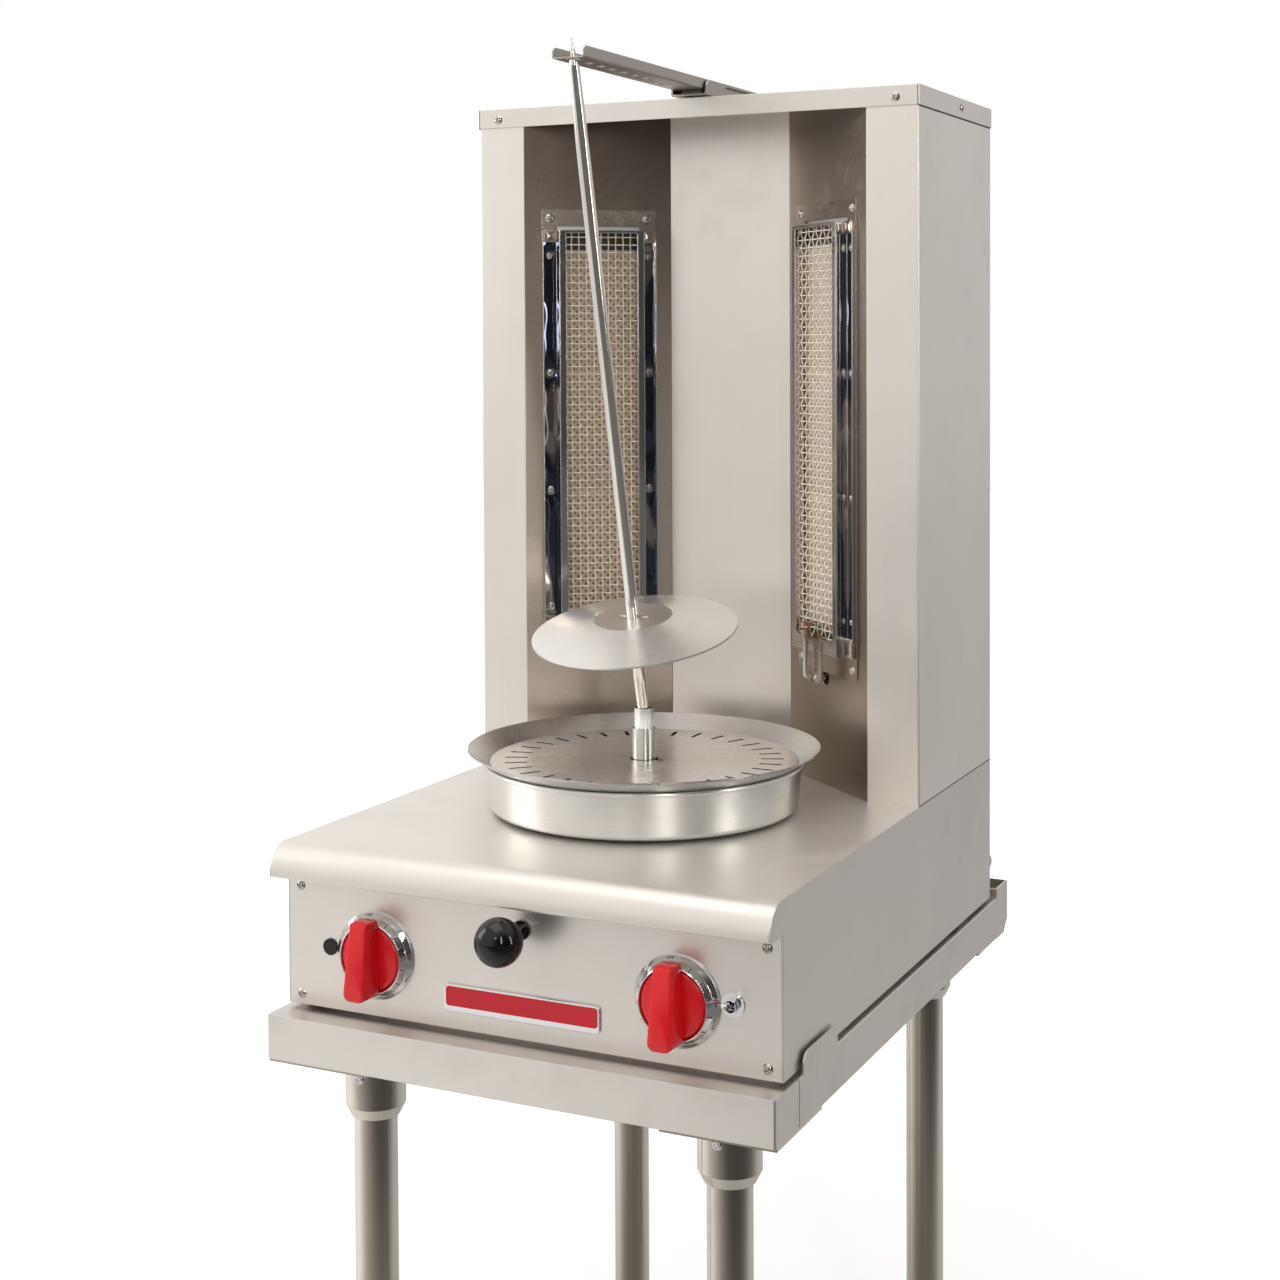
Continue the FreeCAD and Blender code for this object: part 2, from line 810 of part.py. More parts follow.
def machine_pads():
    members = []
    for side in (-1, 1):
        for way in (-1, 1):
            made = body("machine_pad", keep=False)
            place(made, side * (stand_half - D.rail_ledge / 2), way * D.pad_spread, D.tray_top)
            add(made, "XY", 0, D.pad_height,
                rectangle(-D.pad_width / 2, D.pad_width / 2, -D.pad_length / 2, D.pad_length / 2, D.bend))
            members.append(made)
    group("machine_pads", members)


def cabinet_side(side):
    """A flat side with the bullnose in its outline."""
    made = body("cabinet_side", keep=False)
    low, high = (inner, half) if side > 0 else (-half, -inner)
    add(made, "YZ", low, high, [
        (front, base), (front, lip), (nose, lip, D.bend), (nose, deck_top, D.nose_radius),
        (back, deck_top), (back, base)])
    return made


def front_panel():
    made = body("front_panel")
    face = front + D.sheet
    add(made, "XZ", front, face, rectangle(-inner, inner, base, lip))
    for side in (-1, 1):
        edges = sorted((side * inner, side * (inner - D.sheet)), key=lambda size: size.value)
        add(made, "YZ", edges[0], edges[1],
            rectangle(front, face + D.front_return, base + D.pan_flange + D.bend, lip - D.bend))
    circles = [(side * knob_x, knob_z, D.stem_hole) for side in (-1, 1)]
    circles.append((0, pull_z, D.bushing_radius))
    circles.append((switch_x, switch_z, D.switch_bushing))
    circles.append((-plug_x, plug_z, D.plug_radius))
    for side in (-1, 1):
        circles += [(side * screw_x, height, D.screw_shank) for height in (screw_low, screw_high)]
    cut(made, "XZ", front, face, *circles)


def deck():
    """One sheet: flat deck, bullnosed front edge and a lip that turns back over the front panel."""
    made = body("deck")
    face = front + D.sheet
    add(made, "YZ", -inner, inner, [
        (face, lip), (nose, lip, D.bend), (nose, deck_top, D.nose_radius), (back - D.sheet, deck_top),
        (back - D.sheet, deck_under), (nose + D.sheet, deck_under, D.nose_radius - D.sheet),
        (nose + D.sheet, lip + D.sheet, D.bend - D.sheet), (face, lip + D.sheet)])
    slot = D.neck_radius + D.neck_play
    cut(made, "XY", deck_under, deck_top,
        rectangle(-slot, slot, D.spit_centre - D.travel_front - slot, D.spit_centre + D.travel_rear + slot,
                  slot - D.joint_play))
    tube_hole = D.tube_radius + D.bend
    cut(made, "XY", deck_under, deck_top,
        (-knob_x, mixer_y, tube_hole), (knob_x, mixer_y, tube_hole))


def vent_rows(made, plane, start, stop, centres, low, length, width, pitch, rows):
    """One row of round-ended slots, repeated up or back at the pitch."""
    first = cut(made, plane, start, stop, *[
        rectangle(x - length / 2, x + length / 2, low, low + width, width / 2 - D.joint_play) for x in centres])
    doc.recompute()
    repeated = made.newObject("PartDesign::LinearPattern", f"{made.Name}_rows")
    repeated.Originals = [first]
    repeated.Direction = (first.Profile[0], ["V_Axis"])
    bind(repeated, "Length", pitch * (rows - 1))
    bind(repeated, "Occurrences", rows)
    made.Tip = repeated


def bottom_pan():
    made = body("bottom_pan")
    start = front + D.sheet
    end = back - D.sheet
    add(made, "XY", base, base + D.sheet, rectangle(-inner, inner, start, end))
    add(made, "XY", base, base + D.pan_flange, rectangle(-inner, inner, start, start + D.sheet))
    cut(made, "XZ", start, start + D.sheet, *[
        (side * screw_x, screw_low, D.screw_shank + D.joint_play) for side in (-1, 1)])
    centres = [side * D.floor_vent_spread for side in (-1, 1)]
    vent_rows(made, "XY", base, base + D.sheet, centres, D.floor_vent_start, D.vent_length, D.vent_width,
              D.vent_pitch, D.floor_vent_rows)


def cabinet_back():
    made = body("cabinet_back")
    start = back - D.sheet
    add(made, "XZ", start, back, rectangle(-inner, inner, base, deck_top))
    cut(made, "XZ", start, back,
        (inlet_x, knob_z - D.manifold_drop, D.pipe_radius + D.bend),
        (-gland_x, gland_z, D.gland_shank))
    centres = [column * D.back_vent_spread for column in (-1, 0, 1)]
    vent_rows(made, "XZ", start, back, centres, base + D.back_vent_rise, D.vent_length, D.vent_width,
              D.vent_pitch, D.back_vent_rows)


def tower_side(name, side):
    """The flat side and the front post are one folded sheet."""
    made = body(f"tower_side_{name}")
    thick = D.sheet
    add(made, "XY", deck_top, wall_top, [
        (side * post_inner, D.tower_front), (side * half, D.tower_front, D.bend), (side * half, back),
        (side * inner, back), (side * inner, D.tower_front + thick, D.bend - thick),
        (side * post_inner, D.tower_front + thick)])


def on_wall(made, side):
    """Place a part drawn in the wall's own frame: x along the wall, y into the tower."""
    place(made, side * wall_x, wall_y, 0, axis=(0, 0, -side), angle=wall_angle)


def burner_wall(name, side):
    """The angled wall that carries a burner, its ends bevelled against the post and the centre panel."""
    made = body(f"burner_wall_{name}")
    on_wall(made, side)
    thick = D.sheet
    tangent = sin_of(wall_angle) / cos_of(wall_angle)
    add(made, "XY", deck_top, wall_top, [
        (side * wall_half, 0), (side * (wall_half - thick * tangent), thick),
        (-side * (wall_half - thick / tangent), thick), (-side * wall_half, 0)])
    gap = D.window_half + D.frame_sheet
    cut(made, "XZ", 0, thick, rectangle(-gap, gap, window_low, window_high, D.bend))
    cut(made, "XZ", 0, thick, (-side * D.pilot_offset, pilot_hole_z, D.pilot_hole))


def centre_panel():
    made = body("centre_panel")
    width = centre_half + D.centre_lap
    add(made, "XZ", niche_back, niche_back + D.sheet, rectangle(-width, width, deck_top, wall_top))


def tower_back():
    made = body("tower_back")
    start = back - D.sheet
    add(made, "XZ", start, back, rectangle(-inner, inner, deck_top, wall_top))
    centres = [side * D.louvre_spread for side in (-1, 1)]
    vent_rows(made, "XZ", start, back, centres, deck_top + D.louvre_rise, D.louvre_length, D.louvre_width,
              D.louvre_pitch, D.louvre_rows)


def top_cover():
    made = body("top_cover")
    out = half + D.cover_overhang
    low = tower_top - D.cover_height
    start = D.tower_front - D.cover_overhang
    end = back + D.cover_overhang
    play = D.joint_play
    add(made, "XY", low, tower_top, rectangle(-out, out, start, end, D.bend))
    cut(made, "XY", low, wall_top,
        rectangle(-half - play, half + play, D.tower_front - play, back + play))
    height = tower_top - D.cover_screw_drop
    cut(made, "XZ", start, D.tower_front, *[
        (side * cover_screw_x, height, D.screw_shank) for side in (-1, 1)])


def panel_screws():
    """Truss-head screws of the front panel and of the roof's front edge."""
    members = []
    head = D.screw_head
    shank = D.screw_shank
    spots = [(side * screw_x, front, height, D.screw_length)
             for side in (-1, 1) for height in (screw_low, screw_high)]
    roof_front = D.tower_front - D.cover_overhang
    spots += [(side * cover_screw_x, roof_front, tower_top - D.cover_screw_drop,
               D.cover_overhang - D.joint_play) for side in (-1, 1)]
    for x, y, z, length in spots:
        made = body("panel_screw", keep=False)
        place(made, x, y, z)
        turned(made, "XY", [
            (0, -head / 2), (head / 2, -head / 2, head / 3), (head, 0), (shank, 0), (shank, length), (0, length)])
        members.append(made)
    group("panel_screws", members)


front_channel()
group("stand_rails", [stand_rail(-1), stand_rail(1)])
rear_channel()
leg_mounts()
legs()
leg_feet()
machine_pads()
group("cabinet_sides", [cabinet_side(sign) for sign in SIDES.values()])
front_panel()
deck()
bottom_pan()
cabinet_back()
for side_name, side_sign in SIDES.items():
    tower_side(side_name, side_sign)
    burner_wall(side_name, side_sign)
centre_panel()
tower_back()
top_cover()
panel_screws()

# Burners, drawn in the wall's own frame.


def burner_plate(side):
    made = body("burner_plate", keep=False)
    on_wall(made, side)
    half_width = D.burner_plate_width / 2
    thick = D.plate_thickness
    add(made, "XZ", -thick, 0,
        rectangle(-half_width, half_width, burner_plate_low, burner_plate_high, D.bend))
    cut(made, "XZ", -thick, 0,
        rectangle(-D.window_half, D.window_half, window_low, window_high, D.bend))
    heights = (burner_plate_low + D.burner_screw_inset, burner_plate_high - D.burner_screw_inset)
    cut(made, "XZ", -thick, 0, *[
        (way * D.burner_screw_spread, height, D.screw_shank) for way in (-1, 1) for height in heights])
    return made


def burner_frame(side):
    """A pressed frame: front rails, side walls, and polished flanges with a turned-out lip."""
    made = body("burner_frame", keep=False)
    on_wall(made, side)
    sheet = D.frame_sheet
    out = D.frame_half
    inside = out - sheet
    foot = D.plate_thickness
    add(made, "XZ", -frame_front, -foot, rectangle(-out, out, frame_low, frame_high))
    cut(made, "XZ", -frame_front + sheet, -foot,
        rectangle(-inside, inside, frame_low + sheet, frame_high - sheet))
    opening = out - D.frame_rail
    cut(made, "XZ", -frame_front, -frame_front + sheet,
        rectangle(-opening, opening, frame_low + D.frame_sill, frame_high - 3 * sheet, D.bend))
    for way in (-1, 1):
        edges = sorted((way * out, way * D.flange_half), key=lambda size: size.value)
        add(made, "XZ", -foot - sheet, -foot, rectangle(edges[0], edges[1], flange_low, flange_high))
        edges = sorted((way * (D.flange_half - sheet), way * D.flange_half), key=lambda size: size.value)
        add(made, "XZ", -foot - sheet - D.flange_lip, -foot - sheet,
            rectangle(edges[0], edges[1], flange_low, flange_high))
    return made


def burner_mesh(name, side):
    """A wire screen: upright wires in front, level wires behind, each as long as the frame holds it."""
    wire = D.wire.value
    level = D.plate_thickness.value + D.frame_depth.value - 4 * D.frame_sheet.value
    inside = D.frame_half.value - D.frame_sheet.value
    low = frame_low.value + D.frame_sheet.value
    high = frame_high.value - D.frame_sheet.value
    across = int(inside * 2 / D.wire_pitch.value)
    along = int((high - low) / D.wire_pitch.value)
    wires = []
    for index in range(across):
        x = (index - (across - 1) / 2) * D.wire_pitch.value - wire / 2
        wires.append(Part.makeBox(wire, wire, high - low, Vector(x, -level, low)))
    for index in range(along):
        z = (low + high) / 2 + (index - (along - 1) / 2) * D.wire_pitch.value - wire / 2
        wires.append(Part.makeBox(inside * 2, wire, wire, Vector(-inside, -level + wire, z)))
    made = doc.addObject("Part::Feature", f"burner_mesh_{name}")
    made.Label = f"burner_mesh_{name}"
    made.Shape = Part.makeCompound(wires)
    on_wall(made, side)
    parts.append(made)


def burner_tiles(side):
    """Three ceramic tiles with stepped edges, so that their joints show."""
    members = []
    wide = D.tile_width / 2
    edge = D.tile_edge
    for row in range(3):
        made = body("burner_tile", keep=False)
        on_wall(made, side)
        low = tile_low + row * D.tile_pitch
        high = tile_low + (row + 1) * D.tile_pitch
        add(made, "XZ", edge - D.tile_front, D.tile_back, rectangle(-wide, wide, low, high))
        add(made, "XZ", -D.tile_front, edge - D.tile_front,
            rectangle(edge / 2 - wide, wide - edge / 2, low + edge / 2, high - edge / 2))
        members.append(made)
    return members


def burner_box(side):
    """The gas box behind the tiles with its mixing tube and bell mouth."""
    made = body("burner_box", keep=False)
    on_wall(made, side)
    wide = D.tile_width / 2 + D.joint_play
    play = D.joint_play
    add(made, "XZ", D.sheet, D.box_depth, rectangle(-D.box_half, D.box_half, box_low, box_high, D.bend))
    cut(made, "XZ", D.sheet, D.tile_back, rectangle(-wide, wide, tile_low - play, tile_high + play))
    ledge = D.box_wall + D.bend
    cut(made, "XZ", D.tile_back, D.box_depth - D.box_wall,
        rectangle(ledge - wide, wide - ledge, tile_low + ledge, tile_high - ledge, D.bend))
    add(made, "XY", mixer_low, box_low, (0, D.mixer_depth, D.mixer_radius))
    add(made, "XY", mixer_low, mixer_low + D.mixer_bell_height, (0, D.mixer_depth, D.mixer_bell))
    return made


def pilot_burner(side):
    """A tube out of the wall and up, a nut and a capped tip, held by a bracket flap on the frame."""
    made = body("pilot_burner", keep=False)
    on_wall(made, side)
    x = -side * D.pilot_offset
    reach = -D.pilot_reach
    profile = sketch_on(made, "XZ", D.box_wall)
    draw(profile, [(x, pilot_hole_z, D.pilot_tube)])
    spine = sketch_on(made, "YZ", x)
    draw_elbow(spine, (D.box_wall, pilot_hole_z), (reach, pilot_hole_z),
               (reach, pilot_nut_low), D.pilot_bend)
    pipe_along(made, profile, spine, 3)
    nut_top = pilot_nut_low + D.pilot_nut_height
    add(made, "XY", pilot_nut_low, nut_top, (x, reach, D.pilot_nut))
    add(made, "XY", nut_top, nut_top + D.pilot_tip_height / 2, (x, reach, D.pilot_tube))
    add(made, "XY", nut_top + D.pilot_tip_height / 2, nut_top + D.pilot_tip_height, (x, reach, D.pilot_tip))
    edges = sorted((x + side * D.pilot_flap_near, x + side * D.pilot_flap_far), key=lambda size: size.value)
    flap_face = -frame_front - D.frame_sheet
    add(made, "XZ", flap_face, -frame_front, [
        (edges[0], pilot_flap_low, D.pilot_bend), (edges[1], pilot_flap_low, D.pilot_bend),
        (edges[1], pilot_flap_high, D.bend), (edges[0], pilot_flap_high, D.bend)])
    tab = sorted((x - side * D.pilot_tube, x + side * D.pilot_flap_far), key=lambda size: size.value)
    add(made, "XY", pilot_nut_low, pilot_nut_low + D.frame_sheet,
        rectangle(tab[0], tab[1], reach, flap_face))
    return made


group("burner_plates", [burner_plate(sign) for sign in SIDES.values()])
group("burner_frames", [burner_frame(sign) for sign in SIDES.values()])
for side_name, side_sign in SIDES.items():
    burner_mesh(side_name, side_sign)
group("burner_tiles", [tile for sign in SIDES.values() for tile in burner_tiles(sign)])
group("burner_boxes", [burner_box(sign) for sign in SIDES.values()])
group("pilot_burners", [pilot_burner(sign) for sign in SIDES.values()])


# Gas train inside the cabinet.
manifold_height = knob_z - D.manifold_drop
manifold_y = front + D.valve_stub_offset
valve_end = D.valve_length + D.valve_outlet_length


def gas_valve(side):
    """A valve behind the panel: blind bore for the stem, stub down to the manifold, outlet at the rear."""
    made = body("gas_valve", keep=False)
    place(made, side * knob_x, front, knob_z)
    bore = D.stem_radius + D.running_play
    start = D.sheet
    turned(made, "XY", [
        (bore, start), (D.valve_nose, start), (D.valve_nose, D.valve_nose_length),
        (D.valve_radius, D.valve_nose_length, D.bend), (D.valve_radius, D.valve_length, D.bend),
        (D.valve_outlet, D.valve_length), (D.valve_outlet, valve_end), (0, valve_end),
        (0, D.stem_back + D.moving_gap), (bore, D.stem_back + D.moving_gap)])
    add(made, "XY", -D.valve_stub_drop, -D.valve_outlet, (0, D.valve_stub_offset + D.valve_nose / 2, D.valve_stub))
    return made


def manifold_pipe():
    """The gas pipe: across under the valves, round one bend and out at the back."""
    made = body("manifold_pipe")
    y = manifold_y + D.valve_nose / 2
    start = -knob_x - D.manifold_end
    profile = sketch_on(made, "YZ", start)
    draw(profile, [(y, manifold_height, D.pipe_radius), (y, manifold_height, D.pipe_bore)])
    spine = sketch_on(made, "XY", manifold_height)
    draw_elbow(spine, (start, y), (inlet_x, y), (inlet_x, back + D.inlet_reach), D.manifold_bend)
    pipe_along(made, profile, spine, 3)
    add(made, "YZ", start - D.stand_sheet, start, (y, manifold_height, D.pipe_radius))
    collar = back + D.inlet_reach - D.inlet_nipple
    add(made, "XZ", collar - D.inlet_collar_length, collar,
        (inlet_x, manifold_height, D.inlet_collar), (inlet_x, manifold_height, D.pipe_bore))
    for side in (-1, 1):
        add(made, "XY", manifold_height + D.pipe_bore + D.moving_gap, knob_z - D.valve_stub_drop,
            (side * knob_x, y, D.valve_stub))


def supply_tube(side):
    """The tube from a valve back along the cabinet and up to the burner's mixing tube."""
    made = body("supply_tube", keep=False)
    x = side * knob_x
    start = front + valve_end
    profile = sketch_on(made, "XZ", start)
    draw(profile, [(x, knob_z, D.tube_radius), (x, knob_z, D.tube_bore)])
    spine = sketch_on(made, "YZ", x)
    draw_elbow(spine, (start, knob_z), (mixer_y, knob_z), (mixer_y, mixer_low), D.tube_bend)
    pipe_along(made, profile, spine, 3)
    add(made, "XY", mixer_low - D.spud_length, mixer_low, (x, mixer_y, D.spud_radius))
    return made


def power_gland():
    made = body("power_gland")
    place(made, -gland_x, back, gland_z)
    thick = D.sheet
    turned(made, "XY", [
        (D.gland_bore, -D.gland_inner - thick), (D.gland_shank, -D.gland_inner - thick), (D.gland_shank, 0),
        (D.gland_flange, 0), (D.gland_flange, D.gland_inner, D.bend), (D.gland_shank + D.bend, D.gland_reach),
        (D.gland_bore, D.gland_reach)])


group("gas_valves", [gas_valve(sign) for sign in SIDES.values()])
manifold_pipe()
group("supply_tubes", [supply_tube(sign) for sign in SIDES.values()])
power_gland()


# Controls on the front panel.
def knob_bezel(side):
    made = body("knob_bezel", keep=False)
    place(made, side * knob_x, front, knob_z)
    deep = D.bezel_depth
    turned(made, "XY", [
        (D.bezel_bore, 0), (D.bezel_radius, 0), (D.bezel_radius, -deep * 0.7, D.bend),
        (D.bezel_radius - D.bend * 2, -deep, D.bend / 2), (D.bezel_bore, -deep)])
    return made


def knob(name, side):
    """A crowned disc with a thick bar that hangs over the bezel and slopes away at the top."""
    made = body(f"knob_{name}")
    place(made, side * knob_x, front, knob_z)
    turned(made, "XY", [
        (D.stem_radius, -D.knob_back), (D.knob_radius, -D.knob_back), (D.knob_radius, -D.bar_back + D.bend, D.bend),
        (0, -D.knob_front), (0, -D.stem_front), (D.stem_radius, -D.stem_front)])
    wide_top = D.bar_top_width / 2
    wide_low = D.bar_bottom_width / 2
    add(made, "XZ", -D.bar_front, -D.bar_back, [
        (-wide_top, D.bar_top, D.bend), (wide_top, D.bar_top, D.bend),
        (wide_low, -D.bar_bottom, wide_low - D.bend / 2), (-wide_low, -D.bar_bottom, wide_low - D.bend / 2)])
    slope_top = D.bar_top + D.bend
    cut(made, "YZ", -D.bar_top_width, D.bar_top_width, [
        (-D.bar_front - D.bend, -D.bend), (-D.bar_front + D.bar_slope, slope_top), (-D.bar_front - D.bend, slope_top)])


def valve_stem(name, side):
    made = body(f"valve_stem_{name}")
    place(made, side * knob_x, front, knob_z)
    turned(made, "XY", [
        (0, -D.stem_front), (D.stem_radius, -D.stem_front), (D.stem_radius, D.stem_back), (0, D.stem_back)])


def toggle_switch():
    """The switch body, its threaded neck through the panel, and the plate and nut that hold it."""
    made = body("toggle_switch")
    place(made, switch_x, front, switch_z)
    neck = D.switch_bushing
    reach = D.switch_reach
    turned(made, "XY", [
        (0, D.switch_depth / 2), (neck, D.switch_depth / 2), (neck, -reach), (D.lever_ball + D.bend, -reach),
        (D.lever_ball + D.moving_gap, -D.lever_neck), (D.lever_ball + D.moving_gap, D.lever_ball * 2),
        (0, D.lever_ball * 2)])
    wide = D.switch_width / 2
    high = D.switch_body_height / 2
    add(made, "XZ", D.lever_ball * 2 + D.sheet, D.switch_depth, rectangle(-wide, wide, -high, high, D.bend))
    hole = (0, 0, neck)
    add(made, "XZ", -D.sheet, 0, (0, 0, D.switch_plate), hole)
    nut = D.switch_nut
    corners = [(nut * math.cos(math.radians(turn)), nut * math.sin(math.radians(turn))) for turn in range(0, 360, 60)]
    add(made, "XZ", -D.sheet - D.bend, -D.sheet, corners, hole)


def toggle_lever():
    """A bat lever that pivots on a ball in the switch's neck."""
    made = body("toggle_lever")
    place(made, switch_x, front + D.sheet, switch_z, axis=(-1, 0, 0), angle=D.lever_tilt)
    length = D.lever_length
    turned(made, "XY", [
        (0, D.lever_ball), (D.lever_neck, D.lever_ball), (D.lever_ball, D.sheet), (D.lever_ball, -D.sheet),
        (D.lever_neck, -D.lever_ball), (D.lever_tip, -length, D.lever_neck), (0, -length)])


def hole_plug():
    made = body("hole_plug")
    place(made, -plug_x, front, plug_z)
    turned(made, "XY", [
        (0, -D.bend), (D.plug_head, -D.bend, D.bend / 2), (D.plug_head, 0), (D.plug_radius, 0),
        (D.plug_radius, D.bend * 2), (0, D.bend * 2)])


def rod_bushing():
    made = body("rod_bushing")
    place(made, 0, front, pull_z)
    bore = D.pull_radius + D.running_play
    turned(made, "XY", [
        (bore, -D.bushing_head), (D.bushing_flange, -D.bushing_head), (D.bushing_flange, 0),
        (D.bushing_radius, 0), (D.bushing_radius, D.bushing_length), (bore, D.bushing_length)])


group("knob_bezels", [knob_bezel(sign) for sign in SIDES.values()])
for side_name, side_sign in SIDES.items():
    knob(side_name, side_sign)
    valve_stem(side_name, side_sign)
toggle_switch()
toggle_lever()
hole_plug()
rod_bushing()

# The carriage that carries the spit's drive and the drip pans, pulled by the ball knob.
ball_y = front - D.ball_reach


def carriage_plate():
    """A plate with four bored slide blocks under its corners."""
    made = body("carriage_plate")
    place(made, 0, D.spit_centre)
    wide = D.carriage_width / 2
    long = D.carriage_length / 2
    add(made, "XY", plate_low, plate_top, rectangle(-wide, wide, -long, long, D.bend * 2), (0, 0, D.socket_collar))
    block_low = plate_low - D.slide_block_height
    for side in (-1, 1):
        for way in (-1, 1):
            x = side * (wide - D.slide_block / 2)
            y = way * (long - D.slide_block_length / 2)
            add(made, "XY", block_low, plate_low,
                rectangle(x - D.slide_block / 2, x + D.slide_block / 2,
                          y - D.slide_block_length / 2, y + D.slide_block_length / 2))
    bore = D.rod_radius + D.running_play
    cut(made, "XZ", -long, long, (-D.rod_spread, rod_z, bore), (D.rod_spread, rod_z, bore))


def guide_rods():
    members = []
    for side in (-1, 1):
        made = body("guide_rod", keep=False)
        place(made, side * D.rod_spread, 0, rod_z)
        add(made, "XZ", rod_start, D.rod_rear, (0, 0, D.rod_radius))
        members.append(made)
    group("guide_rods", members)


def rail_brackets():
    """Hangers under the deck that hold the ends of the guide rods."""
    members = []
    for side in (-1, 1):
        for start in (rod_start, D.rod_rear - D.bracket_sheet):
            made = body("rail_bracket", keep=False)
            place(made, side * D.rod_spread, start)
            wide = D.bracket_width / 2
            add(made, "XZ", 0, D.bracket_sheet,
                rectangle(-wide, wide, rod_z - wide, deck_under), (0, rod_z, D.rod_radius + D.joint_play))
            members.append(made)
    group("rail_brackets", members)


def carriage_neck():
    """The hollow neck that rises through the deck's slot and carries the drum and the drive."""
    made = body("carriage_neck")
    place(made, 0, D.spit_centre)
    bore = D.socket_tube + D.running_play
    boss = drum_low + D.neck_boss_height
    turned(made, "XZ", [
        (bore, plate_top), (D.neck_radius, plate_top), (D.neck_radius, drum_low), (D.neck_boss, drum_low),
        (D.neck_boss, boss), (bore, boss)])


def gear_motor():
    made = body("gear_motor")
    place(made, 0, D.spit_centre)
    low = plate_low - D.gearbox_height
    wide = D.gearbox_width / 2
    add(made, "XY", low, plate_low, rectangle(-wide, wide, -D.gearbox_front, D.gearbox_rear, D.bend * 2))
    bore_floor = plate_low - D.shaft_depth
    cut(made, "XY", bore_floor, plate_low, (0, 0, D.shaft_radius + D.running_play))
    add(made, "XY", low - D.motor_height, low, (0, D.motor_offset, D.motor_radius))


def pull_rod():
    made = body("pull_rod")
    place(made, 0, 0, pull_z)
    add(made, "XZ", ball_y, D.spit_centre - D.gearbox_front, (0, 0, D.pull_radius))


def ball_knob():
    """A ball bored for the end of the rod."""
    ball = doc.addObject("Part::Sphere", "ball")
    bind(ball, "Radius", D.ball_radius)
    bore = doc.addObject("Part::Cylinder", "ball_bore")
    bind(bore, "Radius", D.pull_radius)
    bind(bore, "Height", D.ball_radius * 2)
    bore.Placement = Placement(Vector(), Rotation(Vector(1, 0, 0), -90))
    made = doc.addObject("Part::Cut", "ball_knob")
    made.Label = "ball_knob"
    made.Base = ball
    made.Tool = bore
    place(made, 0, ball_y, pull_z)
    parts.append(made)


def drive_socket():
    """The upright tube that turns the skewer, its collar on the neck and its shaft in the gearbox."""
    made = body("drive_socket")
    place(made, 0, D.spit_centre)
    collar = drum_low + D.neck_boss_height + D.moving_gap
    foot = plate_low - D.shaft_depth + D.moving_gap
    tube = D.socket_tube
    turned(made, "XZ", [
        (0, foot), (D.shaft_radius, foot), (D.shaft_radius, plate_top), (tube, plate_top), (tube, collar),
        (D.socket_collar, collar), (D.socket_collar, collar + D.collar_thickness), (tube, collar + D.collar_thickness),
        (tube, socket_top), (D.socket_bore, socket_top), (D.socket_bore, socket_floor), (0, socket_floor)])
    cut(made, "YZ", -tube, tube, (0, drive_z, D.drive_pin_radius))


def socket_pin():
    made = body("socket_pin")
    place(made, 0, D.spit_centre, drive_z)
    long = D.socket_tube - D.joint_play
    radius = D.drive_pin_radius
    turned(made, "XY_long", [(-long, 0), (-long, radius), (long, radius), (long, 0)])


def catch_drum():
    """A spun pan that rides on the neck, with a rolled bead at its rim."""
    made = body("catch_drum")
    place(made, 0, D.spit_centre)
    wall = D.drum_wall
    rim = drum_low + D.drum_height
    turned(made, "XZ", [
        (D.neck_boss + D.moving_gap, drum_low), (D.drum_radius, drum_low, D.bend * 3), (drum_flare, rim),
        (drum_flare + D.bead_reach, rim, D.bend * 0.9), (drum_flare + D.bead_reach, bead_top, D.bend * 0.9),
        (drum_flare - wall, bead_top, D.bend), (D.drum_radius - wall, drum_low + wall, D.bend * 2),
        (D.neck_boss + D.moving_gap, drum_low + wall)])


def drip_tray():
    """A spun tray: flared rim on the drum's bead, ledge for the slotted plate, well and chimney."""
    made = body("drip_tray")
    place(made, 0, D.spit_centre)
    wall = D.tray_wall
    bore = D.chimney_radius - D.chimney_wall
    rise = rim_under - flare_start
    run = D.flare_run
    slope = angle_of(rise, run)
    skin = wall / cos_of(slope)
    turned(made, "XZ", [
        (bore, well_floor), (well_radius, well_floor, D.bend), (well_radius, ledge_under),
        (ledge_radius, ledge_under), (ledge_radius, flare_start), (rim_radius, rim_under),
        (rim_radius, rim_under + skin), (ledge_radius - wall, flare_start + skin - wall * rise / run),
        (ledge_radius - wall, ledge_under + wall), (well_radius - wall, ledge_under + wall),
        (well_radius - wall, well_floor + wall, D.bend - wall), (D.chimney_radius, well_floor + wall),
        (D.chimney_radius, chimney_top), (bore, chimney_top)])


def slotted_plate():
    """A loose plate on the tray's ledge, with a ring of radial drain slots."""
    made = body("slotted_plate")
    place(made, 0, D.spit_centre)
    low = ledge_under + D.tray_wall + D.moving_gap
    high = low + D.plate_sheet
    add(made, "XY", low, high, (0, 0, plate_radius), (0, 0, D.plate_hole))
    notch = D.plate_notch_width / 2
    cut(made, "XY", low, high, rectangle(D.chimney_radius, D.plate_notch, -notch, notch))
    slot = D.drain_width / 2
    first = cut(made, "XY", low, high, rectangle(drain_inner, drain_outer, -slot, slot))
    doc.recompute()
    ring = made.newObject("PartDesign::PolarPattern", "drain_slots")
    ring.Originals = [first]
    ring.Axis = (first.Profile[0], ["N_Axis"])
    ring.Angle = 360
    bind(ring, "Occurrences", D.drain_count)
    made.Tip = ring


carriage_plate()
guide_rods()
rail_brackets()
carriage_neck()
gear_motor()
pull_rod()
ball_knob()
drive_socket()
socket_pin()
catch_drum()
drip_tray()
slotted_plate()


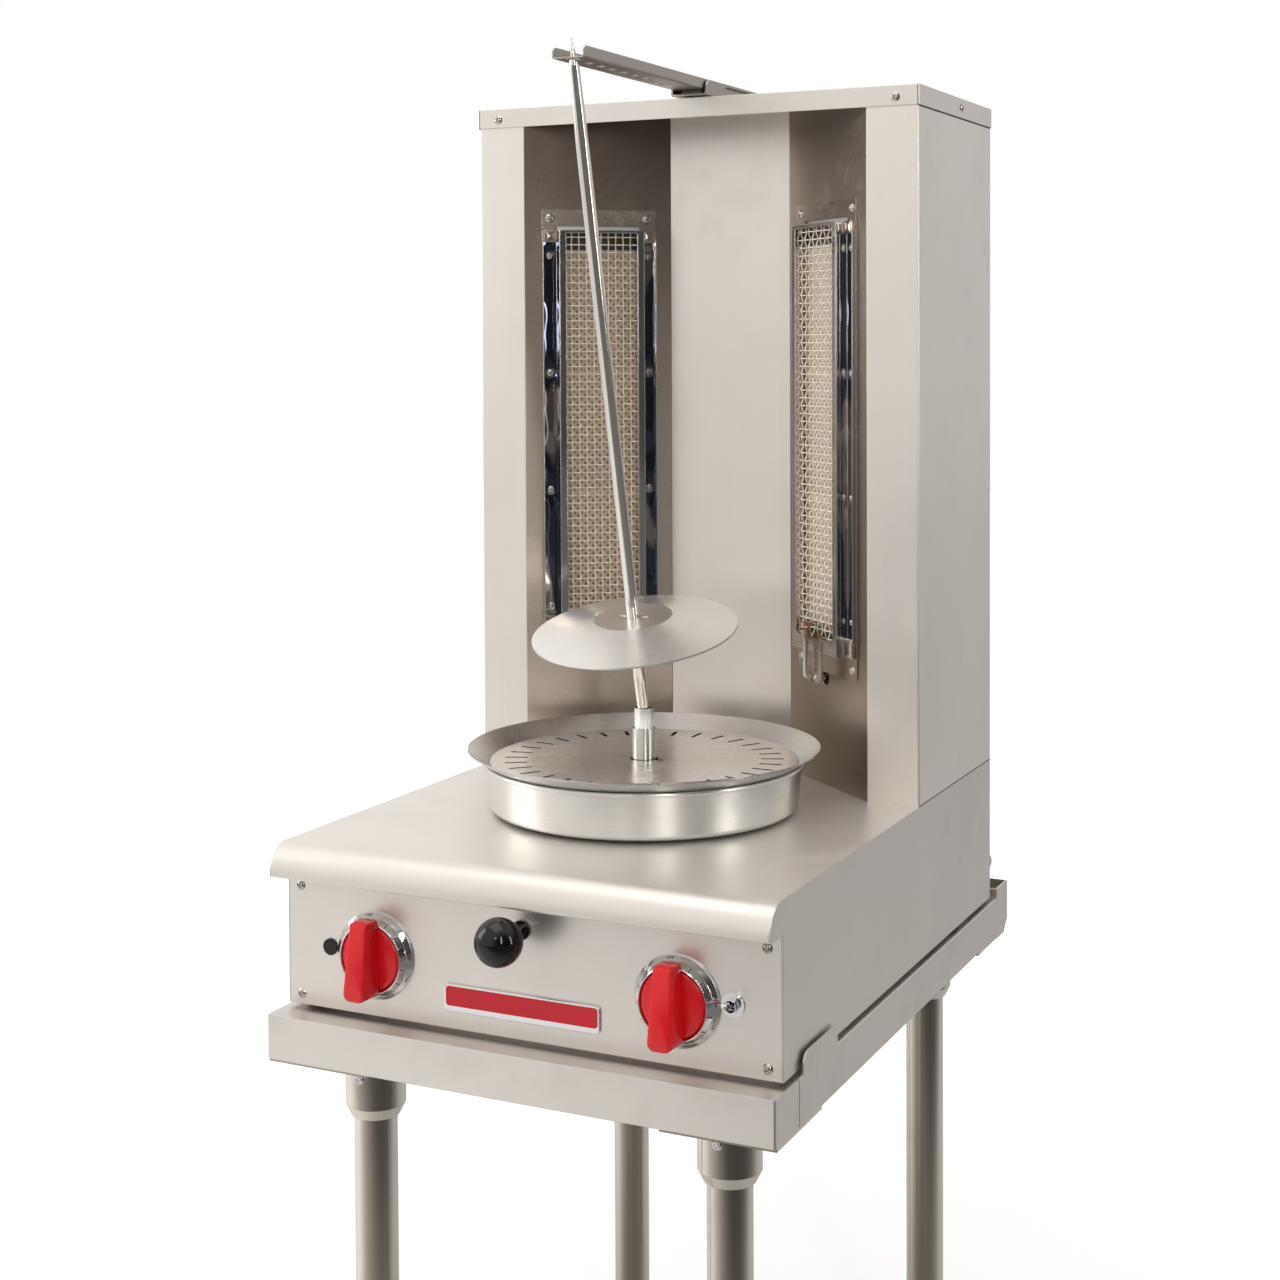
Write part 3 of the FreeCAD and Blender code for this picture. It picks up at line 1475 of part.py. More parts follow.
# The skewer leans forward from the pin in the drive socket.
def on_skewer(made, station):
    """Place a part at a distance along the leaning skewer."""
    place(made, 0, D.spit_centre - sin_of(D.lean) * station, drive_z + cos_of(D.lean) * station,
          axis=(1, 0, 0), angle=D.lean)


def skewer():
    """A round rod with a tapered foot, a slot over the drive pin and a long sharp point."""
    made = body("skewer")
    on_skewer(made, 0)
    foot = -D.foot_depth
    end = skewer_length
    turned(made, "XZ", [
        (0, foot), (D.skewer_foot, foot), (D.skewer_radius, foot + D.foot_taper),
        (D.skewer_radius, end - D.point_length), (D.tip_neck, end - D.tip_length),
        (D.tip_radius, end - D.tip_radius), (0, end)])
    slot = D.foot_slot / 2
    side = D.skewer_radius
    cut(made, "YZ", -side, side, rectangle(-slot, slot, foot, D.foot_slot_reach))
    pin = D.disc_station - D.moving_gap - D.disc_pin_radius
    cut(made, "XZ", -side, side, (0, pin, D.disc_pin_radius))


def disc_pin():
    """The cross pin that the meat disc rests on."""
    made = body("disc_pin")
    on_skewer(made, D.disc_station - D.moving_gap - D.disc_pin_radius)
    long = D.disc_pin_length / 2
    add(made, "XZ", -long, long, (0, 0, D.disc_pin_radius))


def meat_disc():
    """A dished disc; the notches beside its hole let it pass the cross pin."""
    made = body("meat_disc")
    on_skewer(made, D.disc_station)
    sheet = D.disc_sheet
    turned(made, "XZ", [
        (D.skewer_radius + D.moving_gap, 0), (D.disc_flat, 0), (D.disc_radius, -D.disc_drop),
        (D.disc_radius, sheet - D.disc_drop), (D.disc_flat, sheet), (D.skewer_radius + D.moving_gap, sheet)])
    long = D.notch_length / 2
    slot = D.notch_width / 2
    cut(made, "XY", 0, sheet, rectangle(-long, long, -slot, slot))


skewer()
disc_pin()
meat_disc()

# The arm on the roof and the bracket it slides and tilts in.
pin_z = arm_low + D.arm_pin_lift
pin_gap = D.arm_pin_radius + D.moving_gap


def channel(made, half_width, gauge, start, stop, low, high, bend, corner):
    """A U-channel, open upwards, with the front corners of its flanges rounded."""
    inside = half_width - gauge
    fold = low + gauge + bend
    add(made, "XZ", start, stop, [
        (-half_width, fold), (-half_width, low, bend), (half_width, low, bend), (half_width, fold),
        (inside, fold), (inside, low + gauge, bend - gauge / 2), (-inside, low + gauge, bend - gauge / 2),
        (-inside, fold)])
    for side in (-1, 1):
        edges = sorted((side * inside, side * half_width), key=lambda size: size.value)
        add(made, "YZ", edges[0], edges[1], [
            (start, fold), (start, high, corner), (stop, high, D.bend), (stop, fold)])


def arm_bracket():
    made = body("arm_bracket")
    channel(made, D.bracket_half, D.bracket_gauge, D.bracket_front, D.bracket_rear,
            bracket_low, bracket_low + D.bracket_height, D.bend, D.bracket_height - D.bracket_gauge - 2 * D.bend)
    spots = [(side * D.bracket_half / 2, y)
             for side in (-1, 1) for y in (D.bracket_front + D.bracket_half, D.bracket_rear - D.bracket_half)]
    for x, y in spots:
        add(made, "XY", tower_top, bracket_low, (x, y, D.bracket_boss))
    low = D.arm_pin_place - D.travel_front - pin_gap
    high = D.arm_pin_place + D.travel_rear + pin_gap
    cut(made, "YZ", -D.bracket_half, D.bracket_half,
        rectangle(low, high, pin_z - pin_gap, pin_z + pin_gap, pin_gap - D.joint_play))


def arm_slide_pad():
    made = body("arm_slide_pad")
    add(made, "XY", bracket_floor, arm_low - D.moving_gap,
        rectangle(-D.slide_pad_half, D.slide_pad_half, D.slide_pad_place, D.slide_pad_place + D.slide_pad_length,
                  D.bend))


def spit_arm():
    """The perforated channel whose end hole steadies the skewer's point."""
    made = body("spit_arm")
    stop = D.arm_pin_place + D.arm_tail
    channel(made, D.arm_half, D.arm_gauge, arm_front, stop, arm_low, arm_low + D.arm_height,
            D.arm_bend - D.arm_gauge / 2, D.arm_height - D.arm_bend - D.bend)
    row = [(0, arm_hole_first + D.arm_hole_pitch * index, D.arm_hole_radius)
           for index in range(int(SIZES["arm_hole_count"]))]
    cut(made, "XY", arm_low, arm_low + D.arm_gauge, (0, skewer_hole_y, D.skewer_hole_radius), *row)
    cut(made, "YZ", -D.arm_half, D.arm_half, (D.arm_pin_place, pin_z, D.arm_pin_radius + D.running_play))


def arm_pin():
    """The headed pin that the arm tilts on; it slides in the bracket's slots."""
    made = body("arm_pin")
    place(made, 0, D.arm_pin_place, pin_z)
    radius = D.arm_pin_radius
    head = D.arm_pin_head
    neck = D.bracket_half + D.moving_gap
    end = neck + D.arm_pin_head_length
    turned(made, "XY_long", [
        (-end, 0), (-end, head), (-neck, head), (-neck, radius), (neck, radius), (neck, head), (end, head), (end, 0)])


arm_bracket()
arm_slide_pad()
spit_arm()
arm_pin()

doc.recompute()

for thing in doc.Objects:
    if "Invalid" in thing.State or "Error" in thing.State:
        raise RuntimeError(f"{thing.Label} did not build: {thing.State}")
for pocket in cuts:
    if pocket.BaseFeature.Shape.Volume - pocket.Shape.Volume < 1e-3:
        raise RuntimeError(f"{pocket.Label} removes nothing")

os.makedirs("parts", exist_ok=True)
for thing in parts:
    shape = thing.Shape
    if shape.isNull() or not shape.isValid():
        raise RuntimeError(f"{thing.Label} has no valid shape")
    shape.exportStep(f"parts/{thing.Label}.step")
print(f"{len(parts)} parts written")
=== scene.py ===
"""Looks for a gas doner kebab grill on a tube-leg stand.

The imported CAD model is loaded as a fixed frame. The operators below dress its nodes with brushed steel, spun
aluminium and ceramic, put finer pieces in place of the plainest nodes, and set up the camera, the lights and
the floor.
Everything is in metres: X to the right, Y to the back, Z up.
"""

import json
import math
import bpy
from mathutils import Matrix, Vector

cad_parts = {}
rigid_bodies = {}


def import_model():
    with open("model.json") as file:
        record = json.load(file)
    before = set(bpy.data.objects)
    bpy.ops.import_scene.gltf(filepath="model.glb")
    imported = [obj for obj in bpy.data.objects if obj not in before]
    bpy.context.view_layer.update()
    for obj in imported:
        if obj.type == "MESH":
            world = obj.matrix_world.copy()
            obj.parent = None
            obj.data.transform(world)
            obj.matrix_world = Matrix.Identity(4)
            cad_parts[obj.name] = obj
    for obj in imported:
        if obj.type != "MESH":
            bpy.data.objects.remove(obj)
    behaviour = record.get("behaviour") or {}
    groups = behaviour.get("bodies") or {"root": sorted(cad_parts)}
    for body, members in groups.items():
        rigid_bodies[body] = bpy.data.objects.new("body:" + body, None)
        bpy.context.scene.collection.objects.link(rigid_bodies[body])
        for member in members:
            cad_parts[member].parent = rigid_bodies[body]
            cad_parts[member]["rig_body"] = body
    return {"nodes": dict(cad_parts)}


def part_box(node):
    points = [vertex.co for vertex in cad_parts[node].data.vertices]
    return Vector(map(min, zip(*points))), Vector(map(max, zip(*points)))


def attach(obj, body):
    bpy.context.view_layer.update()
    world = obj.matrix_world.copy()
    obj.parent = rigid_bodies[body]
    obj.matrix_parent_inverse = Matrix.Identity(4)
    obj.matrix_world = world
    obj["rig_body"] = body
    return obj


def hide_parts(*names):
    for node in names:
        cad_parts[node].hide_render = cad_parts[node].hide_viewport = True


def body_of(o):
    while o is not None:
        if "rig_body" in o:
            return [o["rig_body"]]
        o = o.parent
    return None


bl_info = {
    "name": "Doner Grill Looks",
    "version": (1, 0, 0),
    "blender": (4, 5, 0),
    "location": "View3D > Sidebar > Grill",
    "description": "Materials, fine pieces and studio for a gas doner kebab grill",
    "category": "Object",
}

import bmesh
import bpy
import numpy as np
from bpy.props import FloatProperty, FloatVectorProperty, IntProperty, PointerProperty
from mathutils import Matrix, Vector

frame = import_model()
SIDES = {"left": -1, "right": 1}
TURN = 2 * math.pi
WHITE = (1.0, 1.0, 1.0)


# Meshes
def linked(name, data):
    """A new object in the scene."""
    made = bpy.data.objects.new(name, data)
    bpy.context.scene.collection.objects.link(made)
    return made


def mesh_object(name, points, faces, smooth_below=35.0):
    """An object from points and faces, shaded smooth except over edges sharper than the angle."""
    mesh = bpy.data.meshes.new(name)
    faces = faces.tolist() if isinstance(faces, np.ndarray) else faces
    mesh.from_pydata(np.asarray(points, float).reshape(-1, 3).tolist(), [], faces)
    mesh.validate()
    mesh.polygons.foreach_set("use_smooth", np.ones(len(mesh.polygons), bool))
    mesh.set_sharp_from_angle(angle=math.radians(smooth_below))
    return linked(name, mesh)


def grid_faces(shape, wrap_rows=False, wrap_columns=False):
    """Quads between neighbours of a grid of points; a wrapped direction joins its last line to its first."""
    index = np.arange(shape[0] * shape[1]).reshape(shape)
    if wrap_rows:
        index = np.vstack([index, index[:1]])
    if wrap_columns:
        index = np.hstack([index, index[:, :1]])
    quads = np.stack([index[:-1, :-1], index[1:, :-1], index[1:, 1:], index[:-1, 1:]], axis=-1)
    return quads.reshape(-1, 4)


def many_faces(count, shape, wrap_columns=False):
    """The faces of several equal grids that follow one another in one list of points."""
    one = grid_faces(shape, wrap_columns=wrap_columns)
    return (one[None] + (np.arange(count) * shape[0] * shape[1])[:, None, None]).reshape(-1, 4)


def rounded(corners, steps=5):
    """Points of a closed outline through corners (x, y) or (x, y, radius), each radius drawn as an arc."""
    flat = np.array([corner[:2] for corner in corners], float)
    points = []
    for index, corner in enumerate(corners):
        if len(corner) < 3 or corner[2] <= 0:
            points.append(flat[index][None])
            continue
        back = flat[index - 1] - flat[index]
        ahead = flat[(index + 1) % len(corners)] - flat[index]
        back /= np.linalg.norm(back)
        ahead /= np.linalg.norm(ahead)
        half = math.acos(np.clip(back @ ahead, -1, 1)) / 2
        middle = flat[index] + (back + ahead) / np.linalg.norm(back + ahead) * corner[2] / math.sin(half)
        first = flat[index] + back * corner[2] / math.tan(half) - middle
        last = flat[index] + ahead * corner[2] / math.tan(half) - middle
        share = np.linspace(0, 1, steps + 1)[:, None]
        arc = first * (1 - share) + last * share
        points.append(middle + arc / np.linalg.norm(arc, axis=1)[:, None] * corner[2])
    return np.vstack(points)


def placed(points, matrix):
    """Points moved by a 4 x 4 matrix."""
    matrix = np.array(matrix, float)
    return np.asarray(points) @ matrix[:3, :3].T + matrix[:3, 3]


def lathe(name, outline, matrix, segments):
    """A turned piece: each outline point (radius, height) goes once round the Z axis, placed by the matrix."""
    turn = np.linspace(0, TURN, segments, endpoint=False)
    radius, height = np.asarray(outline, float).T
    ring = np.stack([
        radius[:, None] * np.cos(turn), radius[:, None] * np.sin(turn),
        np.repeat(height[:, None], segments, axis=1)], axis=-1)
    return merged(mesh_object(name, placed(ring, matrix), grid_faces(ring.shape[:2], True, True)))


def merged(made, distance=1e-6):
    """The same object with doubled points joined, so that poles and caps are closed."""
    mesh = bmesh.new()
    mesh.from_mesh(made.data)
    bmesh.ops.remove_doubles(mesh, verts=mesh.verts, dist=distance)
    bmesh.ops.recalc_face_normals(mesh, faces=mesh.faces)
    mesh.to_mesh(made.data)
    mesh.free()
    return made


def extruded(name, outline, depth, matrix, bevel):
    """A flat closed outline in XY drawn up to a depth along Z, its rims rounded by a bevel."""
    count = len(outline)
    ring = np.arange(count)
    after = (ring + 1) % count
    walls = np.column_stack([ring, after, after + count, ring + count]).tolist()
    grid = np.column_stack([np.vstack([outline, outline]), np.repeat((0.0, depth), count)])
    made = mesh_object(name, placed(grid, matrix), [ring[::-1].tolist(), (ring + count).tolist()] + walls)
    edge = made.modifiers.new("rim", "BEVEL")
    edge.width = bevel
    edge.segments = 3
    edge.limit_method = "ANGLE"
    edge.angle_limit = math.radians(50)
    return made


def stepped(outline, levels, insets):
    """Rings of an outline, drawn in by an inset at each level, and closed by the middle of the last one."""
    middle = outline.mean(axis=0)
    reach = outline - middle
    scale = 1 - np.asarray(insets)[:, None, None] / np.abs(reach).max(axis=0)
    rings = middle + reach * scale
    height = np.broadcast_to(np.asarray(levels, float)[:, None, None], rings.shape[:2] + (1,))
    grid = np.concatenate([rings, height], axis=-1)
    hub = np.broadcast_to(grid[-1:].mean(axis=1, keepdims=True), grid[-1:].shape)
    return np.concatenate([grid, hub])


def slabs(name, outlines, levels, insets, matrices, smooth_below=50):
    """Equal stepped slabs in one object: each outline has its own matrix."""
    grids = [stepped(outline, levels, insets) for outline in outlines]
    points = [placed(grid.reshape(-1, 3), matrix) for grid, matrix in zip(grids, matrices)]
    faces = many_faces(len(grids), grids[0].shape[:2], wrap_columns=True)
    return mesh_object(name, np.vstack(points), faces, smooth_below)


def plate_outline(low, high, radius, steps=3):
    """A rectangle between two corners, its own corners rounded."""
    corners = ((low[0], low[1]), (high[0], low[1]), (high[0], high[1]), (low[0], high[1]))
    return rounded([(*corner, radius) for corner in corners], steps)


# Places read from the frame
def box_of(node):
    low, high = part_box(node)
    return np.array(low), np.array(high)


def node_points(node):
    mesh = frame["nodes"][node].data
    points = np.zeros(len(mesh.vertices) * 3)
    mesh.vertices.foreach_get("co", points)
    return points.reshape(-1, 3)


def wall_matrix(side):
    """The frame of an angled burner wall: x along the wall, y into the tower, z up."""
    low, high = box_of("burner_wall_left" if side < 0 else "burner_wall_right")
    angle = math.atan2(high[1] - low[1], high[0] - low[0])
    centre = (low + high) / 2
    return Matrix.Translation((centre[0], centre[1], 0)) @ Matrix.Rotation(-side * angle, 4, "Z")


def local_box(points, matrix):
    """Lowest and highest corner of points as seen from a placed frame."""
    seen = placed(points, matrix.inverted())
    return seen.min(axis=0), seen.max(axis=0)


def side_points(node, side):
    points = node_points(node)
    return points[points[:, 0] * side > 0]


# Facing matrices: a piece drawn with +Z out of its face is turned to face this way.
FACING = {
    "front": Matrix.Rotation(math.radians(90), 4, "X"),
    "right": Matrix.Rotation(math.radians(90), 4, "Y"),
    "left": Matrix.Rotation(math.radians(-90), 4, "Y"),
}


# Nodes
def add_node(tree, kind, inputs=(), out=0, **settings):
    """One output of a new shader node, with each input linked to a socket or set to a value."""
    node = tree.nodes.new("ShaderNode" + kind)
    for label, value in settings.items():
        setattr(node, label, value)
    for label, value in dict(inputs).items():
        if isinstance(value, bpy.types.NodeSocket):
            tree.links.new(value, node.inputs[label])
        elif value is not None:
            node.inputs[label].default_value = value
    return node.outputs[out]


def math_node(tree, operation, first, second=None):
    return add_node(tree, "Math", {0: first, 1: second}, operation=operation)


def times(tree, first, second):
    return math_node(tree, "MULTIPLY", first, second)


def ranged(tree, value, low, high, to_low=0.0, to_high=1.0, smooth=False):
    inputs = {"Value": value, "From Min": low, "From Max": high, "To Min": to_low, "To Max": to_high}
    return add_node(tree, "MapRange", inputs, "Result", interpolation_type="SMOOTHSTEP" if smooth else "LINEAR")


def noise(tree, vector, scale, detail=2.0, roughness=0.5):
    inputs = {"Vector": vector, "Scale": scale, "Detail": detail, "Roughness": roughness}
    return add_node(tree, "TexNoise", inputs, "Fac")


def vector_node(tree, operation, first, second=None, out="Vector"):
    return add_node(tree, "VectorMath", {0: first, 1: second}, out, operation=operation)


def bumped(tree, height, distance, normal=None):
    return add_node(tree, "Bump", {"Height": height, "Distance": distance, "Normal": normal}, "Normal")


def mixed(tree, factor, *colours, blend="MIX"):
    first, second = (
        colour if isinstance(colour, bpy.types.NodeSocket) else (*colour, 1.0) for colour in colours)
    return add_node(tree, "Mix", {0: factor, 6: first, 7: second}, 2, data_type="RGBA", blend_type=blend)


def multiplied(tree, *colours):
    return mixed(tree, 1.0, *colours, blend="MULTIPLY")


def along(tree, where, axis="Z"):
    return add_node(tree, "SeparateXYZ", {0: where}, axis)


def shade(colour, amount):
    return tuple(min(1.0, channel * amount) for channel in colour)


def soft_edges(tree, radius):
    """The normal that rounds a sheet's folds and rims for the light."""
    return add_node(tree, "Bevel", {"Radius": radius}, "Normal", samples=4)


def new_group(name, inputs, outputs):
    group = bpy.data.node_groups.new(name, "ShaderNodeTree")
    for label, value in inputs.items():
        socket = group.interface.new_socket(label, in_out="INPUT", socket_type="NodeSocketVector")
        socket.default_value = value
    for label, kind in outputs.items():
        group.interface.new_socket(label, in_out="OUTPUT", socket_type="NodeSocket" + kind)
    return group, group.nodes.new("NodeGroupInput").outputs, group.nodes.new("NodeGroupOutput").inputs


def use_group(tree, group, **inputs):
    return add_node(tree, "Group", inputs, node_tree=GROUPS[group]).node.outputs


def grain_group():
    """Brushing: noise drawn out along one axis, in a fine and a coarse scale, with a soft cloud over it."""
    tree, start, end = new_group(
        "brushed_grain", {"Vector": (0, 0, 0), "Stretch": (1, 1, 1), "Normal": (0, 0, 1)},
        {"Grain": "Float", "Cloud": "Float", "Normal": "Vector"})
    drawn = vector_node(tree, "MULTIPLY", start["Vector"], start["Stretch"])
    fine = noise(tree, drawn, 1.0, 3.0, 0.6)
    coarse = noise(tree, drawn, 0.23)
    grain = math_node(tree, "ADD", times(tree, fine, 0.65), times(tree, coarse, 0.35))
    cloud = noise(tree, start["Vector"], 7.0, 3.0, 0.55)
    tree.links.new(ranged(tree, grain, 0.3, 0.7), end["Grain"])
    tree.links.new(ranged(tree, cloud, 0.3, 0.7), end["Cloud"])
    tree.links.new(bumped(tree, grain, 0.000015, start["Normal"]), end["Normal"])
    return tree


def smudge_group():
    """Handling marks: warped clouds cut to soft patches, and sparse specks."""
    tree, start, end = new_group(
        "handling_marks", {"Vector": (0, 0, 0)}, {"Smudge": "Float", "Speck": "Float"})
    cloud = noise(tree, start["Vector"], 16.0, 5.0, 0.62)
    speck = noise(tree, start["Vector"], 260.0, 1.0)
    tree.links.new(ranged(tree, cloud, 0.52, 0.7, smooth=True), end["Smudge"])
    tree.links.new(ranged(tree, speck, 0.74, 0.8, smooth=True), end["Speck"])
    return tree


def peel_group():
    """Orange peel: two sizes of soft noise as a shallow bump."""
    tree, start, end = new_group("orange_peel", {"Vector": (0, 0, 0)}, {"Cloud": "Float", "Normal": "Vector"})
    small = noise(tree, start["Vector"], 900.0, 1.0)
    large = noise(tree, start["Vector"], 120.0, 1.0)
    tree.links.new(large, end["Cloud"])
    tree.links.new(bumped(tree, math_node(tree, "ADD", small, large), 0.000003), end["Normal"])
    return tree


# Materials
GRAIN = {
    "across": (9.0, 1400.0, 1400.0),
    "deep": (1400.0, 9.0, 1400.0),
    "upright": (1400.0, 1400.0, 9.0),
}
GROUPS = {}
MATERIALS = {}


def start_material(name, **constants):
    """A new material with one Principled shader, its constant sockets set, and the object's coordinates."""
    material = bpy.data.materials.new(name)
    MATERIALS[name] = material
    material.use_nodes = True
    tree = material.node_tree
    tree.nodes.clear()
    shader = tree.nodes.new("ShaderNodeBsdfPrincipled")
    out = tree.nodes.new("ShaderNodeOutputMaterial")
    tree.links.new(shader.outputs[0], out.inputs["Surface"])
    for label, value in constants.items():
        shader.inputs[label.replace("_", " ")].default_value = value
    return tree, shader, add_node(tree, "TexCoord", out="Object")


def connect(tree, shader, **sockets):
    for label, socket in sockets.items():
        tree.links.new(socket, shader.inputs[label.replace("_", " ")])


def brushed(name, tint, rough, direction, metal=1.0, marks=0.0, edge=0.0012, fade=None, rim=None):
    """Brushed metal: grain drives colour, roughness and bump; clouds and marks vary it over the sheet.

    A fade is (low, high, low tint, high tint): a tint that changes with the height. A rim is a painted sheen:
    the tint that the surface takes where it turns away.
    """
    tree, shader, where = start_material(name, Metallic=metal)
    grain = use_group(tree, "grain", Vector=where, Stretch=GRAIN[direction], Normal=soft_edges(tree, edge))
    colour = mixed(tree, grain["Grain"], shade(tint, 0.98), shade(tint, 1.02))
    if fade:
        height_fade = ranged(tree, along(tree, where), *fade[:2], smooth=True)
        colour = multiplied(tree, colour, mixed(tree, height_fade, *fade[2:]))
    # Painted sheen: a paler tint where the surface turns away.
    if rim:
        facing = add_node(tree, "LayerWeight", {"Blend": 0.5}, "Facing")
        colour = mixed(tree, ranged(tree, facing, 0.1, 0.5, smooth=True), colour, rim)
    colour = multiplied(tree, colour, mixed(tree, grain["Cloud"], (0.95, 0.945, 0.94), WHITE))
    roughness = ranged(tree, grain["Grain"], 0.0, 1.0, rough - 0.04, rough + 0.04)
    if marks:
        handled = use_group(tree, "smudge", Vector=where)
        colour = mixed(tree, times(tree, handled["Smudge"], marks), colour, shade(tint, 0.72))
        roughness = math_node(tree, "ADD", roughness, times(tree, handled["Smudge"], 0.07))
        colour = mixed(tree, times(tree, handled["Speck"], marks), colour, shade(tint, 0.35))
    connect(tree, shader, Base_Color=colour, Roughness=roughness, Normal=grain["Normal"])


def spun(name, tint, rough, centre, painted_shade=0.0, walls=1.0):
    """Spun metal: fine rings round an upright axis, from noise over the distance to it and the height.

    Below the given height it is painted black, as the shade in the well under the plate. Walls is how much of
    the rings upright walls show.
    """
    tree, shader, where = start_material(name, Metallic=1.0, Anisotropic=0.7, Anisotropic_Rotation=0.25)
    flat = vector_node(tree, "SUBTRACT", where, (centre[0], centre[1], 0))
    reach = vector_node(tree, "LENGTH", vector_node(tree, "MULTIPLY", flat, (1, 1, 0)), out="Value")
    height = along(tree, where)
    join = add_node(tree, "CombineXYZ", {"X": reach, "Z": times(tree, height, walls)})
    ring = noise(tree, join, 2600.0)
    smudge = use_group(tree, "smudge", Vector=where)["Smudge"]
    colour = mixed(tree, ranged(tree, ring, 0.3, 0.7), shade(tint, 0.9), shade(tint, 1.08))
    colour = mixed(tree, times(tree, smudge, 0.25), colour, shade(tint, 0.7))
    roughness = math_node(
        tree, "ADD", ranged(tree, ring, 0.3, 0.7, rough - 0.06, rough + 0.06), times(tree, smudge, 0.1))
    # Painted shade: black below the given height.
    if painted_shade:
        shade_mask = ranged(tree, height, painted_shade - 0.003, painted_shade, 1.0, 0.0, True)
        colour = mixed(tree, shade_mask, colour, (0.006, 0.005, 0.004))
    tangent = add_node(tree, "Tangent", direction_type="RADIAL", axis="Z")
    relief = bumped(tree, ring, 0.00003)
    connect(tree, shader, Base_Color=colour, Roughness=roughness, Normal=relief, Tangent=tangent)


def polished(name, tint, rough, marks=0.3, edge=0.0004):
    """Polished metal: nearly a mirror, with faint handling marks that dull it."""
    tree, shader, where = start_material(name, Metallic=1.0)
    smudge = use_group(tree, "smudge", Vector=where)["Smudge"]
    connect(
        tree, shader, Base_Color=mixed(tree, times(tree, smudge, marks), tint, shade(tint, 0.75)),
        Roughness=ranged(tree, smudge, 0.0, 1.0, rough, rough + 0.12), Normal=soft_edges(tree, edge))


def moulded(name, tint, rough, specular=0.5):
    """Moulded plastic or paint: a soft colour cloud and orange peel."""
    tree, shader, where = start_material(name, Specular_IOR_Level=specular)
    peel = use_group(tree, "peel", Vector=where)
    connect(
        tree, shader, Base_Color=mixed(tree, peel["Cloud"], shade(tint, 0.95), shade(tint, 1.05)),
        Roughness=ranged(tree, peel["Cloud"], 0.3, 0.7, rough - 0.04, rough + 0.04), Normal=peel["Normal"])


def blued_reflection_film(name):
    """Blued mirror film: near black, with long pale patches of painted reflection from drawn-out noise."""
    tree, shader, where = start_material(name, Metallic=1.0)
    reflection_patch = noise(tree, vector_node(tree, "MULTIPLY", where, (30.0, 30.0, 7.0)), 1.0, 1.0)
    handled = use_group(tree, "smudge", Vector=where)
    colour = mixed(tree, ranged(tree, reflection_patch, 0.56, 0.60, smooth=True), (0.10, 0.11, 0.16), (0.50, 0.46, 0.42))
    connect(
        tree, shader, Base_Color=mixed(tree, handled["Speck"], colour, (0.8, 0.78, 0.75)),
        Roughness=ranged(tree, handled["Smudge"], 0.0, 1.0, 0.06, 0.16))


def pilot_metal(name, nut, tip):
    """The pilot's tube in steel, its nut in brass and its tip in copper, told apart by the height."""
    tree, shader, where = start_material(name, Metallic=1.0)
    height = along(tree, where)
    smudge = use_group(tree, "smudge", Vector=where)["Smudge"]
    colour = mixed(tree, math_node(tree, "GREATER_THAN", height, nut), (0.70, 0.66, 0.60), (0.62, 0.47, 0.30))
    colour = mixed(tree, math_node(tree, "GREATER_THAN", height, tip), colour, (0.66, 0.38, 0.27))
    colour = mixed(tree, smudge, colour, (0.25, 0.20, 0.17))
    connect(
        tree, shader, Base_Color=colour, Roughness=ranged(tree, smudge, 0.0, 1.0, 0.22, 0.4))


def fired_ceramic(name, tint, pitch, low, step):
    """Ceramic burner tile: a square lattice of fine holes over the tile's own UV, stained in clouds. The holes'
    dark dots also paint the shade that the woven screen casts on the tile.

    The holes stop short of each joint, which comes every step above the lowest edge and is left bright. The
    left burner's tiles are browner.
    """
    tree, shader, where = start_material(name, Roughness=0.85)
    place = add_node(tree, "UVMap", out="UV")
    turned = add_node(tree, "Mapping", {"Vector": place, "Rotation": (0, 0, math.radians(45))})
    dots = add_node(tree, "TexVoronoi", {"Vector": turned, "Scale": 1 / pitch, "Randomness": 0.0}, "Distance",
                    voronoi_dimensions="2D")
    level = math_node(tree, "DIVIDE", math_node(tree, "SUBTRACT", along(tree, where), low), step)
    joint = math_node(tree, "ABSOLUTE", math_node(tree, "SUBTRACT", math_node(tree, "FRACT", level), 0.5))
    joint = ranged(tree, joint, 0.484, 0.49)
    hole_and_shadow = times(tree, ranged(tree, dots, 0.2, 0.36, 1.0, 0.0, True), math_node(tree, "SUBTRACT", 1.0, joint))
    colour = mixed(tree, noise(tree, where, 40.0, 3.0), shade(tint, 0.9), shade(tint, 1.06))
    colour = mixed(tree, joint, shade(tint, 0.86), colour)
    # Darkened dots: the holes, and painted shade cast by the screen's wires.
    colour = mixed(tree, times(tree, hole_and_shadow, 0.62), colour, shade(tint, 0.2))
    right = ranged(tree, along(tree, where, "X"), -0.01, 0.01)
    colour = multiplied(tree, colour, mixed(tree, right, (0.86, 0.80, 0.72), WHITE))
    relief = bumped(tree, math_node(tree, "SUBTRACT", 1.0, hole_and_shadow), 0.0006)
    connect(tree, shader, Base_Color=colour, Normal=relief)


def put_on(material, *objects):
    for made in objects:
        made.data.materials.clear()
        made.data.materials.append(MATERIALS[material])


# Settings
class GrillCamera(bpy.types.PropertyGroup):
    """The photograph's camera, as fitted to the grill's edges."""
    place: FloatVectorProperty(
        name="Place", description="Where the camera stands", subtype="TRANSLATION", unit="LENGTH",
        default=(0.8837, -1.8957, 1.2463))
    heading: FloatProperty(
        name="Heading", description="Turn to the left of straight ahead", subtype="ANGLE",
        default=math.radians(25.66))
    pitch: FloatProperty(
        name="Pitch", description="Tilt below the horizon", subtype="ANGLE", default=math.radians(1.72))
    roll: FloatProperty(
        name="Roll", description="Turn about the line of sight", subtype="ANGLE", default=math.radians(-0.28))
    focal: FloatProperty(
        name="Focal length", description="Focal length as a share of the image's width", default=2020.2 / 1280)
    shift_x: FloatProperty(name="Shift X", description="Sideways framing shift", default=-0.0021)
    shift_y: FloatProperty(name="Shift Y", description="Upright framing shift", default=-0.1875)


